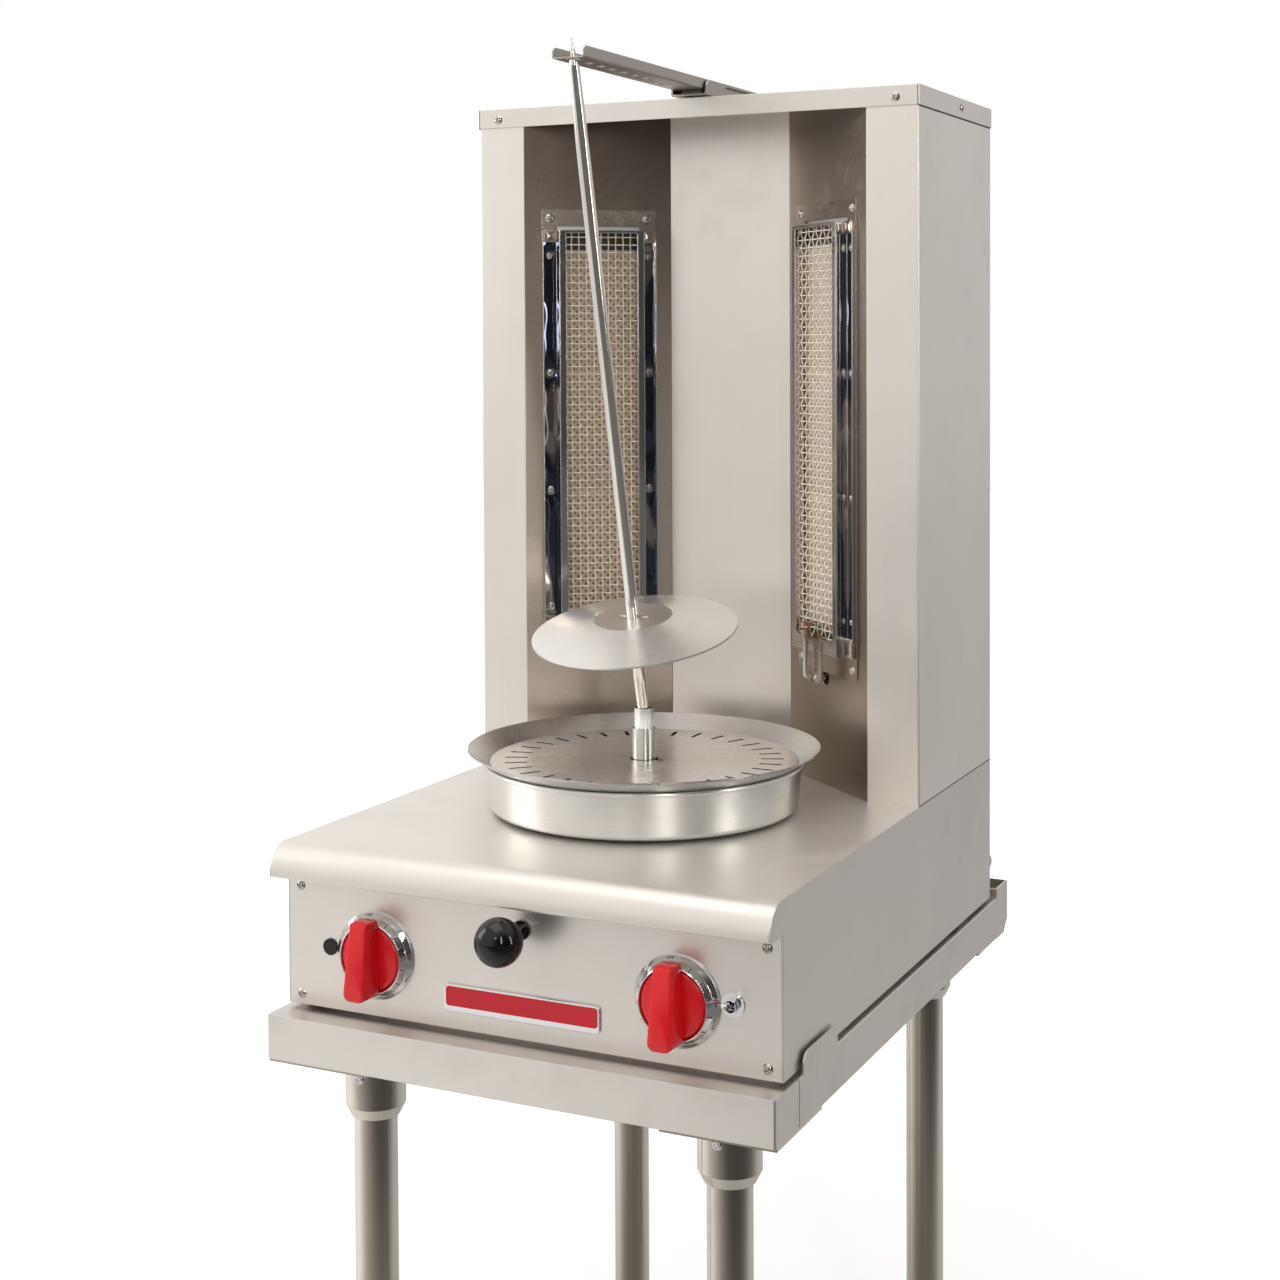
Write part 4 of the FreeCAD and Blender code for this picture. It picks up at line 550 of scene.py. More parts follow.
class GrillStudio(bpy.types.PropertyGroup):
    """Lights, backdrop and floor."""
    backdrop: FloatProperty(name="Backdrop", description="Brightness that the backdrop lends", default=0.98)
    dark_side: FloatProperty(
        name="Dark side", description="Brightness of the room in front and to the right", default=0.07)
    dim_side: FloatProperty(
        name="Dim side", description="Brightness of the room behind and to the right", default=0.60)
    key_power: FloatProperty(
        name="Key", description="Power of the softbox on the left", unit="POWER", default=22.0)
    top_power: FloatProperty(
        name="Top", description="Power of the softbox overhead", unit="POWER", default=15.0)
    glint_power: FloatProperty(
        name="Glint", description="Power of the small box in front", unit="POWER", default=3.0)
    strip_power: FloatProperty(
        name="Strips", description="Power of the two upright strips on the right", unit="POWER", default=13.0)
    floor_shade: FloatProperty(
        name="Floor shade", description="How grey the floor is to the right and behind", default=0.52)
    floor_glow: FloatProperty(
        name="Floor glow", description="Light that the floor near the grill adds for the camera alone",
        default=0.10)
    floor_size: FloatProperty(
        name="Floor size", description="Half width of the floor", unit="LENGTH", default=14.0)


class GrillSteel(bpy.types.PropertyGroup):
    """Tints and finishes of the sheet metal."""
    sheet: FloatVectorProperty(
        name="Sheet", description="Tint of the brushed sheets", subtype="COLOR", default=(0.74, 0.70, 0.655))
    niche: FloatVectorProperty(
        name="Niche", description="Tint of the walls that the burners have browned", subtype="COLOR",
        default=(0.44, 0.38, 0.335))
    spun: FloatVectorProperty(
        name="Spun", description="Tint of the spun pans", subtype="COLOR", default=(0.86, 0.85, 0.83))
    rough: FloatProperty(name="Roughness", description="Roughness of the brushed sheets", default=0.34)


class GrillScreen(bpy.types.PropertyGroup):
    """The woven wire in front of the ceramic."""
    wire: FloatProperty(name="Wire", description="Radius of a wire", unit="LENGTH", default=0.00072)
    crimp: FloatProperty(name="Crimp", description="Swing of a wire as a share of its radius", default=1.5)
    pitch: FloatProperty(name="Pitch", description="Distance between wires", unit="LENGTH", default=0.0084)
    sides: IntProperty(name="Sides", description="Faces round a wire", default=6)
    steps: IntProperty(name="Steps", description="Points along each cell", default=6)


class GrillBurners(bpy.types.PropertyGroup):
    """Strips, caps, gaskets and pilots on the burner frames."""
    flange: FloatProperty(
        name="Flange", description="Width of a frame's flange", unit="LENGTH", default=0.0162)
    lip: FloatProperty(name="Lip", description="Thickness of the flange's lip", unit="LENGTH", default=0.0013)
    top_cap: FloatProperty(
        name="Top cap", description="Height of the upper caps", unit="LENGTH", default=0.013)
    foot_cap: FloatProperty(
        name="Foot cap", description="Height of the lower caps", unit="LENGTH", default=0.020)
    cap_lift: FloatProperty(
        name="Cap lift", description="How far a cap stands out", unit="LENGTH", default=0.007)
    film_lift: FloatProperty(
        name="Film lift", description="How far a strip stands off the wall", unit="LENGTH", default=0.0027)
    bulge: FloatProperty(name="Bulge", description="Bow of a strip", unit="LENGTH", default=0.0004)
    gasket: FloatProperty(
        name="Gasket", description="Height of the seal over the tiles", unit="LENGTH", default=0.004)
    tip: FloatProperty(name="Tip", description="Radius of a pilot's tip", unit="LENGTH", default=0.0057)
    drains: IntProperty(name="Drains", description="Slots in the plate", default=32)


class GrillScrews(bpy.types.PropertyGroup):
    """Truss-head screws with a cross recess."""
    head: FloatProperty(name="Head", description="Radius of a head", unit="LENGTH", default=0.005)
    dome: FloatProperty(name="Dome", description="Height of a head", unit="LENGTH", default=0.0024)
    recess: FloatProperty(
        name="Recess", description="Half length of the cross", unit="LENGTH", default=0.0026)
    width: FloatProperty(name="Slot", description="Half width of the cross", unit="LENGTH", default=0.0006)


class GrillControls(bpy.types.PropertyGroup):
    """The knobs, the ball and the bare badge."""
    bar_lift: FloatProperty(
        name="Crown", description="How far the knob's bar bulges", unit="LENGTH", default=0.0022)
    ticks: IntProperty(name="Ticks", description="Marks round each bezel", default=12)
    badge_width: FloatProperty(
        name="Badge width", description="Width of the plate", unit="LENGTH", default=0.160)
    badge_height: FloatProperty(
        name="Badge height", description="Height of the plate", unit="LENGTH", default=0.0255)
    badge_low: FloatProperty(
        name="Badge place", description="Height of its lower edge", unit="LENGTH", default=0.6305)


# Operators
class GRILL_OT_studio(bpy.types.Operator):
    """Camera, white backdrop with a dark side behind the camera, softboxes and a pale floor"""
    bl_idname = "grill.studio"
    bl_label = "Studio"

    def execute(self, context):
        self.camera(context)
        self.world(context.scene.grill_studio)
        self.lights(context.scene.grill_studio)
        self.floor(context.scene.grill_studio)
        context.scene.view_settings.view_transform = "Standard"
        return {"FINISHED"}

    def camera(self, context):
        settings = context.scene.grill_camera
        data = bpy.data.cameras.new("camera")
        data.sensor_width = 36.0
        data.lens = settings.focal * data.sensor_width
        data.shift_x = settings.shift_x
        data.shift_y = settings.shift_y
        data.clip_end = 100.0
        camera = linked("camera", data)
        camera.matrix_world = (
            Matrix.Translation(settings.place) @ Matrix.Rotation(settings.heading, 4, "Z")
            @ Matrix.Rotation(math.radians(90) - settings.pitch, 4, "X")
            @ Matrix.Rotation(settings.roll, 4, "Z"))
        context.scene.camera = camera

    def world(self, settings):
        world = bpy.data.worlds.new("studio")
        bpy.context.scene.world = world
        world.use_nodes = True
        tree = world.node_tree
        tree.nodes.clear()
        way = add_node(tree, "TexCoord", out="Generated")
        dark = self.facing(tree, way, (0.80, -0.60, 0.06), 0.45, 0.93)
        dim = self.facing(tree, way, (0.60, 0.79, 0.0), 0.55, 0.95)
        level = self.blend(tree, dim, settings.backdrop, settings.dim_side)
        level = self.blend(tree, dark, level, settings.dark_side)
        lit = add_node(tree, "Background", {"Color": (1.0, 0.985, 0.965, 1.0), "Strength": level})
        seen = add_node(tree, "Background", {"Color": (*WHITE, 1.0), "Strength": 1.0})
        ray = add_node(tree, "LightPath", out="Is Camera Ray")
        choice = add_node(tree, "MixShader", {0: ray, 1: lit, 2: seen})
        tree.links.new(choice, tree.nodes.new("ShaderNodeOutputWorld").inputs["Surface"])

    def facing(self, tree, way, direction, start, full):
        """How far a direction lies towards another: their dot product, eased between two values."""
        return ranged(tree, vector_node(tree, "DOT_PRODUCT", way, direction, "Value"), start, full, smooth=True)

    def blend(self, tree, share, first, second):
        return add_node(tree, "Mix", {0: share, 2: first, 3: second})

    def lights(self, settings):
        plan = {
            "key": ((-2.7, -0.9, 2.0), (0, -0.1, 0.9), (1.3, 1.8), settings.key_power),
            "top": ((-0.3, -0.5, 3.3), (0, 0, 0.8), (2.2, 1.6), settings.top_power),
            "glint": ((0.55, -2.6, 2.3), (0, -0.3, 0.7), (0.35, 0.35), settings.glint_power),
            "strip_front": ((1.75, -2.15, 1.9), (0, 0, 0.8), (0.3, 1.5), settings.strip_power),
            "strip_right": ((2.9, -0.2, 1.5), (0, 0, 0.9), (0.25, 1.6), settings.strip_power),
        }
        for name, (place, target, size, power) in plan.items():
            data = bpy.data.lights.new(name, "AREA")
            data.shape = "RECTANGLE"
            data.size, data.size_y = size
            data.energy = power
            data.color = (1.0, 0.975, 0.94)
            light = linked(name, data)
            light.location = place
            light.rotation_euler = (Vector(target) - Vector(place)).to_track_quat("-Z", "Y").to_euler()

    def floor(self, settings):
        """A sheet just under the feet, grey to the right and behind. For the camera alone it is lit up to
        white, less so near the origin, where the shadow shows."""
        reach, sunk = settings.floor_size, 0.0002
        corners = [(x * reach, y * reach, -sunk) for x, y in ((-1, -1), (1, -1), (1, 1), (-1, 1))]
        floor = mesh_object("floor", corners, [(0, 1, 2, 3)])
        tree, shader, where = start_material("floor_paint", Roughness=0.9, Emission_Color=(*WHITE, 1.0))
        pale, grey, dark = 0.88, settings.floor_shade, 0.14
        paint = mixed(tree, self.facing(tree, where, (-0.75, -0.66, 0.0), -0.2, 1.1), (grey,) * 3, (pale,) * 3)
        paint = mixed(tree, self.facing(tree, where, (0.85, -0.53, 0.0), 0.25, 1.5), paint, (dark,) * 3)
        paint = multiplied(tree, paint, mixed(tree, noise(tree, where, 1.3, 3.0), (0.97,) * 3, WHITE))
        near, far, far_glow = 0.8, 2.6, 0.6
        distance = vector_node(tree, "LENGTH", where, out="Value")
        glow = ranged(tree, distance, near, far, settings.floor_glow, far_glow, True)
        lack = math_node(tree, "SUBTRACT", math_node(tree, "ADD", glow, pale), paint)
        seen = add_node(tree, "LightPath", out="Is Camera Ray")
        connect(tree, shader, Base_Color=paint, Emission_Strength=times(tree, seen, lack))
        put_on("floor_paint", floor)


class GRILL_OT_finishes(bpy.types.Operator):
    """Every material, and which CAD node wears which"""
    bl_idname = "grill.finishes"
    bl_label = "Finishes"

    def execute(self, context):
        GROUPS.update(grain=grain_group(), smudge=smudge_group(), peel=peel_group())
        self.metals(context.scene.grill_steel)
        self.others(context.scene.grill_screen)
        self.dress()
        return {"FINISHED"}

    def metals(self, steel):
        sheet, niche, pan = tuple(steel.sheet), tuple(steel.niche), tuple(steel.spun)
        low, high = box_of("slotted_plate")
        axis = (low + high) / 2
        height_fade = (1.0, 1.48, (1.7, 1.7, 1.7), (0.38, 0.35, 0.33))
        nut_foot, tip_foot, shade_level = 0.930, 0.939, 0.8185
        # The sheet_ materials and stand_sheet share one tint, set lighter or darker per group of faces (the
        # uprights brightest): painted light and shade.
        brushed("sheet_across", shade(sheet, 1.05), steel.rough, "across", 0.88, marks=0.05)
        brushed("sheet_deep", shade(sheet, 1.04), 0.38, "deep", 0.7, marks=0.05)
        brushed("sheet_side", sheet, steel.rough, "deep", 0.95, marks=0.05)
        brushed("sheet_upright", shade(sheet, 1.13), steel.rough, "upright", 0.84, marks=0.04)
        brushed("niche_left", niche, 0.30, "across", 0.92, marks=0.06, fade=height_fade)
        brushed("niche_right", shade(niche, 0.85), 0.30, "across", marks=0.06)
        brushed("burner_sheet", shade(niche, 1.1), 0.24, "across", marks=0.1)
        brushed("stand_sheet", shade(sheet, 0.97), 0.33, "across", marks=0.1)
        # The tubes' dark tint paints the dark reflections down their middles, and the rim a pale sheen at their
        # edges.
        brushed("tube", (0.25, 0.22, 0.19), 0.2, "upright", marks=0.1, rim=(0.74, 0.69, 0.62))
        brushed("rod", shade(sheet, 1.1), 0.13, "upright", marks=0.1, edge=0.0)
        brushed("zinc", (0.62, 0.62, 0.60), 0.38, "across", marks=0.3)
        brushed("plate", (0.76, 0.71, 0.66), 0.26, "across", 0.72, marks=0.12, edge=0.0)
        brushed("arm", (0.44, 0.40, 0.365), 0.32, "deep", marks=0.12)
        brushed("disc", shade(pan, 0.98), 0.3, "across", 0.95, edge=0.0)
        brushed("bright_wire", (0.90, 0.81, 0.68), 0.3, "upright", 0.45, edge=0.0)
        spun("drum", shade(pan, 0.95), 0.35, axis)
        # The tray is painted black below the plate's height, as the shade in its well.
        spun("tray", shade(pan, 0.76), 0.27, axis, painted_shade=shade_level, walls=0.0)
        polished("socket", shade(pan, 1.08), 0.2, 0.1, 0.0)
        polished("rail", (0.70, 0.68, 0.67), 0.07, edge=0.0016)
        polished("chrome", (0.72, 0.72, 0.73), 0.05)
        # The screws' darker tint paints the dark reflections that their heads show.
        polished("screw", (0.50, 0.48, 0.45), 0.12)
        polished("brass", (0.78, 0.60, 0.30), 0.25)
        blued_reflection_film("blued_reflection_film")
        pilot_metal("pilot_metal", nut_foot, tip_foot)

    def others(self, screen):
        low, high = box_of("burner_tiles")
        step = (high[2] - low[2]) / 3
        # The dot lattice follows the wire pitch, so the dark dots also paint the screen's shadows on the tile.
        fired_ceramic("ceramic", (0.98, 0.87, 0.74), screen.pitch / math.sqrt(2), low[2], step)
        moulded("gasket", (0.50, 0.56, 0.58), 0.8)
        # Near-black paint for the shade in the recesses behind the screens.
        moulded("painted_shade", (0.075, 0.065, 0.058), 0.6)
        moulded("red", (0.74, 0.008, 0.014), 0.2, 0.45)
        moulded("badge_red", (0.64, 0.02, 0.035), 0.36, 0.3)
        moulded("black", (0.004, 0.0035, 0.004), 0.06, 0.4)
        moulded("black_matte", (0.02, 0.02, 0.02), 0.55)
        moulded("slot_dark", (0.004, 0.004, 0.004), 0.9, 0.0)
        moulded("nylon", (0.20, 0.18, 0.16), 0.5)
        moulded("motor", (0.05, 0.05, 0.055), 0.4)

    def dress(self):
        wears = {
            "sheet_across": ["front_panel", "cabinet_back", "top_cover", "bottom_pan"],
            "sheet_deep": ["deck"],
            "sheet_side": ["cabinet_sides"],
            "sheet_upright": ["tower_side_left", "tower_side_right", "centre_panel", "tower_back"],
            "niche_left": ["burner_wall_left"],
            "niche_right": ["burner_wall_right"],
            "burner_sheet": ["burner_plates"],
            "rail": ["burner_frames"],
            "stand_sheet": ["stand_front_channel", "stand_rails", "stand_rear_channel"],
            "tube": ["legs", "leg_mounts", "leg_feet", "supply_tubes"],
            "rod": ["skewer", "disc_pin", "socket_pin", "arm_pin", "pull_rod", "guide_rods"],
            "socket": ["drive_socket"],
            "zinc": ["burner_boxes", "gas_valves", "manifold_pipe", "rail_brackets", "carriage_plate",
                     "carriage_neck"],
            "drum": ["catch_drum"],
            "tray": ["drip_tray"],
            "plate": ["slotted_plate"],
            "arm": ["spit_arm", "arm_bracket"],
            "disc": ["meat_disc"],
            "chrome": ["knob_bezels", "toggle_switch", "toggle_lever", "panel_screws"],
            "pilot_metal": ["pilot_burners"],
            "brass": ["valve_stem_left", "valve_stem_right"],
            "bright_wire": ["burner_mesh_left", "burner_mesh_right"],
            "ceramic": ["burner_tiles"],
            "red": ["knob_left", "knob_right"],
            "black": ["ball_knob", "rod_bushing", "hole_plug"],
            "black_matte": ["machine_pads", "power_gland"],
            "nylon": ["arm_slide_pad"],
            "motor": ["gear_motor"],
        }
        for material, nodes in wears.items():
            for node in nodes:
                put_on(material, frame["nodes"][node])
        bare = [node for node, made in frame["nodes"].items() if not made.data.materials[0].node_tree.nodes.get(
            "Principled BSDF")]
        if bare:
            raise RuntimeError(f"no finish for {bare}")


class GRILL_OT_screens(bpy.types.Operator):
    """Woven wire screens and perforated ceramic tiles in place of the plain CAD ones"""
    bl_idname = "grill.screens"
    bl_label = "Screens and tiles"

    def execute(self, context):
        for name, side in SIDES.items():
            self.screen(context.scene.grill_screen, name, side)
        self.tiles()
        return {"FINISHED"}

    def weave(self, along, across, lines, settings, phase):
        """Wires on a grid: each runs along one axis and swings between its neighbours as a cosine."""
        cells = (along[1] - along[0]) / settings.pitch
        run = np.linspace(along[0], along[1], int(cells * settings.steps) + 1)
        turn = np.linspace(0, TURN, settings.sides, endpoint=False)
        middle = (along[0] + along[1]) / 2
        number = np.arange(lines)
        place = (across[0] + across[1]) / 2 + (number - (lines - 1) / 2) * settings.pitch
        swing = settings.crimp * settings.wire * np.cos(
            math.pi * ((run[None] - middle) / settings.pitch + number[:, None] + phase))
        shape = (lines, len(run), settings.sides)
        sideways = np.broadcast_to(place[:, None, None] + settings.wire * np.cos(turn), shape)
        depth = np.broadcast_to(swing[:, :, None] + settings.wire * np.sin(turn), shape)
        length = np.broadcast_to(run[None, :, None], shape)
        return sideways, depth, length

    def screen(self, settings, name, side):
        node = f"burner_mesh_{name}"
        matrix = wall_matrix(side)
        low, high = local_box(node_points(node), matrix)
        level = (low[1] + high[1]) / 2
        wide, tall = (low[0], high[0]), (low[2], high[2])
        columns, rows = (int((end - start) / settings.pitch) for start, end in (wide, tall))
        x, y, z = self.weave(tall, wide, columns, settings, 0 if rows % 2 else 0.5)
        upright = np.stack([x, y + level, z], axis=-1)
        z, y, x = self.weave(wide, tall, rows, settings, 1 + (0 if columns % 2 else 0.5))
        flat = np.stack([x, y + level, z], axis=-1)
        faces = [
            many_faces(len(upright), upright.shape[1:3], wrap_columns=True),
            many_faces(len(flat), flat.shape[1:3], wrap_columns=True) + upright.size // 3]
        points = np.vstack([upright.reshape(-1, 3), flat.reshape(-1, 3)])
        made = mesh_object(f"woven_screen_{name}", placed(points, matrix), np.vstack(faces), 80)
        put_on("bright_wire", made)
        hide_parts(node)
        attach(made, "cabinet")

    def tiles(self):
        """Each tile is a rounded slab on its wall; its UV is the distance along and up the wall in metres."""
        outlines, matrices, count, bevel = [], [], 3, 0.0012
        for side in SIDES.values():
            matrix = wall_matrix(side)
            low, high = local_box(side_points("burner_tiles", side), matrix)
            step = (high[2] - low[2]) / count
            for row in range(count):
                bottom = low[2] + row * step
                outlines.append(plate_outline((low[0], bottom), (high[0], bottom + step), bevel))
                matrices.append(matrix @ FACING["front"])
        levels = (-high[1], -low[1] - bevel, -low[1] - bevel * 0.3, -low[1])
        insets = (0, 0, bevel * 0.3, bevel)
        made = slabs("ceramic_tiles", outlines, levels, insets, matrices)
        where = np.vstack([stepped(outline, levels, insets).reshape(-1, 3)[:, :2] for outline in outlines])
        corners = np.zeros(len(made.data.loops), int)
        made.data.loops.foreach_get("vertex_index", corners)
        made.data.uv_layers.new(name="wall").data.foreach_set("uv", where[corners].ravel())
        put_on("ceramic", made)
        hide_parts("burner_tiles")
        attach(made, "cabinet")


class GRILL_OT_burners(bpy.types.Operator):
    """Blued strips, end caps, gaskets, the pilots' nuts and tips, and the dark of the drain slots"""
    bl_idname = "grill.burners"
    bl_label = "Burners"

    def execute(self, context):
        settings = context.scene.grill_burners
        corner, rim, head_room, sunk = 0.0006, 0.0005, 0.003, -0.01
        strips, caps, gaskets, shade_sheets, walls = [], [], [], [], []
        for side in SIDES.values():
            wall = wall_matrix(side)
            low, high = local_box(side_points("burner_frames", side), wall)
            tile_low, tile_high = local_box(side_points("burner_tiles", side), wall)
            joints = np.linspace(tile_low[2], tile_high[2], 4)
            inner, outer = high[0] - settings.flange, high[0] - settings.lip
            for hand in (-1, 1):
                near, far = sorted((hand * inner, hand * outer))
                strips.append(placed(self.strip(settings, near, far, low[2], high[2], joints), wall))
                caps.append(plate_outline((near, high[2] - settings.top_cap), (far, high[2]), corner))
                caps.append(plate_outline((near, low[2]), (far, low[2] + settings.foot_cap), corner))
            seal_top = tile_high[2] + settings.gasket
            gaskets.append(plate_outline((tile_low[0], tile_high[2]), (tile_high[0], seal_top), corner))
            shade_sheets.append(plate_outline((tile_low[0], seal_top), (tile_high[0], high[2] - head_room), corner))
            walls.append(wall @ FACING["front"])
            self.pilot(settings, side)
        shape = strips[0].shape[:2]
        film = mesh_object("blued_strips", np.concatenate(strips), many_faces(len(strips), shape), 60)
        put_on("blued_reflection_film", film)
        levels = (0.0016, settings.cap_lift - rim, settings.cap_lift)
        ends = slabs("strip_caps", caps, levels, (0, 0, rim), [wall for wall in walls for _ in range(4)])
        put_on("burner_sheet", ends)
        seals = slabs("tile_gaskets", gaskets, (sunk, 0.001 - rim, 0.001), (0, 0, rim), walls)
        put_on("gasket", seals)
        # Near-black sheets behind the mesh above the tiles: painted shade in the recess there.
        dark = slabs("window_shade", shade_sheets, (sunk, 0.0, 0.0003), (0, 0, rim), walls)
        put_on("painted_shade", dark)
        for made in (film, ends, seals, dark):
            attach(made, "cabinet")
        self.drains(settings)
        return {"FINISHED"}

    def drains(self, settings):
        """The dark of the plate's slots: one narrow bar turned evenly about the plate's middle."""
        margin, length, half_width, proud = 0.0144, 0.0227, 0.0018, 0.00005
        low, high = box_of("slotted_plate")
        middle = (low + high) / 2
        turn = np.linspace(0, TURN, settings.drains, endpoint=False)[:, None]
        outer = (high[0] - low[0]) / 2 - margin
        out = np.array([[outer - length, outer, outer, outer - length]])
        wide = np.array([[-1, -1, 1, 1]]) * half_width
        x = middle[0] + out * np.cos(turn) - wide * np.sin(turn)
        y = middle[1] + out * np.sin(turn) + wide * np.cos(turn)
        points = np.stack([x, y, np.full(x.shape, high[2] + proud)], axis=-1)
        made = mesh_object("drain_shadows", points, np.arange(settings.drains * 4).reshape(-1, 4))
        put_on("slot_dark", made)
        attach(made, body_of(frame["nodes"]["slotted_plate"])[0])

    def strip(self, settings, near, far, foot, head, joints):
        """A sheet over a grid: it bows out across its width as a parabola, swells along its height as the sum
        of two sines, and is drawn in round each screw as a bell curve."""
        long_wave, short_wave, dimple = 61, 143, 0.006
        across = np.linspace(near, far, 9)[None]
        up = np.linspace(foot + settings.foot_cap, head - settings.top_cap, 181)[:, None]
        share = (2 * across - near - far) / (far - near)
        swell = np.sin(up * long_wave) * 0.6 + np.sin(up * short_wave + 1.3) * 0.4
        drawn = np.exp(-((up[..., None] - joints) / dimple) ** 2).sum(axis=-1)
        out = settings.film_lift + settings.bulge * (1 - share ** 2) * (1 + swell - 1.6 * drawn)
        return np.stack([across + 0 * up, -out, up + 0 * across], axis=-1)

    def pilot(self, settings, side):
        """A six-sided nut and a mushroom tip, turned about the pilot's own axis."""
        points = side_points("pilot_burners", side)
        top, tip_depth = points[:, 2].max(), 0.003
        tip = points[points[:, 2] > top - tip_depth]
        middle = (tip.min(axis=0) + tip.max(axis=0)) / 2
        place = Matrix.Translation((middle[0], middle[1], top))
        radius = settings.tip
        name = "left" if side < 0 else "right"
        mushroom = rounded([
            (0, -0.0075), (radius * 0.72, -0.0075), (radius, -0.006, 0.0008), (radius * 0.86, -0.0022, 0.002),
            (0.0, 0.0)])
        cap = lathe(f"pilot_tip_{name}", mushroom, place, 48)
        turn = np.linspace(0, TURN, 6, endpoint=False)
        hexagon = np.column_stack([np.cos(turn), np.sin(turn)]) * radius * 0.86
        levels, insets = (-0.0168, -0.0163, -0.009, -0.0083), (0.0006, 0, 0, 0.0006)
        nut = slabs(f"pilot_nut_{name}", [hexagon], levels, insets, [place], 30)
        for made in (cap, nut):
            put_on("pilot_metal", made)
            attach(made, "cabinet")


class GRILL_OT_screws(bpy.types.Operator):
    """Truss-head screws: the panel's and roof's in place of the CAD ones, the burners' and the sockets'"""
    bl_idname = "grill.screws"
    bl_label = "Screws"

    def head(self, settings, rings=14, segments=40):
        """A domed head over a polar grid, with a cross pressed in where either of its bars covers a point."""
        share = np.linspace(0, 1, rings)
        turn = np.linspace(0, TURN, segments, endpoint=False)
        radius = settings.head * share[:, None]
        x, y = radius * np.cos(turn), radius * np.sin(turn)
        height = settings.dome * (1 - share[:, None] ** 2.6) + 0 * x
        narrow = np.minimum(np.abs(x), np.abs(y))
        wide = np.maximum(np.abs(x), np.abs(y))
        soft = settings.width * 0.5
        inside = np.clip((settings.width + soft - narrow) / soft, 0, 1) * np.clip(
            (settings.recess + soft - wide) / soft, 0, 1)
        return np.stack([x, y, height - inside * settings.dome * 0.62], axis=-1)

    def rows_of(self, name, matrices, settings, material="screw"):
        shape = self.head(settings)
        points = np.stack([placed(shape.reshape(-1, 3), matrix) for matrix in matrices])
        faces = many_faces(len(matrices), shape.shape[:2], wrap_columns=True)
        made = merged(mesh_object(name, points, faces, 40), 1e-7)
        put_on(material, made)
        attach(made, "cabinet")
        return made

    def execute(self, context):
        settings = context.scene.grill_screws
        self.panels(settings)
        self.burners(settings)
        self.sockets(settings)
        return {"FINISHED"}

    def panels(self, settings):
        upper, cover_reach, behind, over = 0.728, 0.2297, 0.0145, 0.0115
        panel_low = box_of("front_panel")[0]
        cover_low, cover_high = box_of("top_cover")
        screw_low, screw_high = box_of("panel_screws")
        reach = screw_high[0] - settings.head
        spots = []
        for side in SIDES.values():
            spots += [
                (side * reach, panel_low[1], screw_low[2] + settings.head), (side * reach, panel_low[1], upper),
                (side * cover_reach, cover_low[1], screw_high[2] - settings.head)]
        matrices = [
            Matrix.Translation(spot) @ FACING["front"] @ Matrix.Rotation(0.4 + index * 1.1, 4, "Z")
            for index, spot in enumerate(spots)]
        y, z = (cover_low[1] + cover_high[1]) / 2 + behind, cover_low[2] + over
        matrices += [
            Matrix.Translation((cover_high[0], y, z)) @ FACING["right"],
            Matrix.Translation((cover_low[0], y, z)) @ FACING["left"]]
        made = self.rows_of("panel_screw_heads", matrices, settings)
        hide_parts("panel_screws")

    def burners(self, settings):
        """Four screws in each mounting plate, and two columns of smaller ones at the joints of the tiles."""
        inset, strip_inset, foot_inset, head_inset, small = 0.0095, 0.0085, 0.008, 0.003, 0.72
        matrices = []
        for side in SIDES.values():
            wall = wall_matrix(side)
            low, high = local_box(side_points("burner_plates", side), wall)
            for x in (low[0] + inset, high[0] - inset):
                for z in (low[2] + inset, high[2] - inset):
                    turn = Matrix.Rotation(x * 40 + z * 7, 4, "Z")
                    matrices.append(wall @ Matrix.Translation((x, low[1], z)) @ FACING["front"] @ turn)
            tile_low, tile_high = local_box(side_points("burner_tiles", side), wall)
            for x in (low[0] + strip_inset, high[0] - strip_inset):
                for z in np.linspace(tile_low[2] + foot_inset, tile_high[2] - head_inset, 4):
                    place = wall @ Matrix.Translation((x, -0.0026, z))
                    matrices.append(place @ FACING["front"] @ Matrix.Scale(small, 4))
        self.rows_of("burner_screw_heads", matrices, settings)

    def sockets(self, settings):
        ahead, over = 0.029, 0.041
        points, foot, matrices = node_points("legs"), box_of("leg_mounts")[0][2], []
        for side in SIDES.values():
            for front in (True, False):
                leg = points[(points[:, 0] * side > 0) & ((points[:, 1] < 0) == front)]
                middle = (leg.min(axis=0) + leg.max(axis=0)) / 2
                place = Matrix.Translation((middle[0], middle[1] - ahead, foot + over))
                matrices.append(place @ FACING["front"])
        self.rows_of("socket_set_screws", matrices, settings, "chrome")


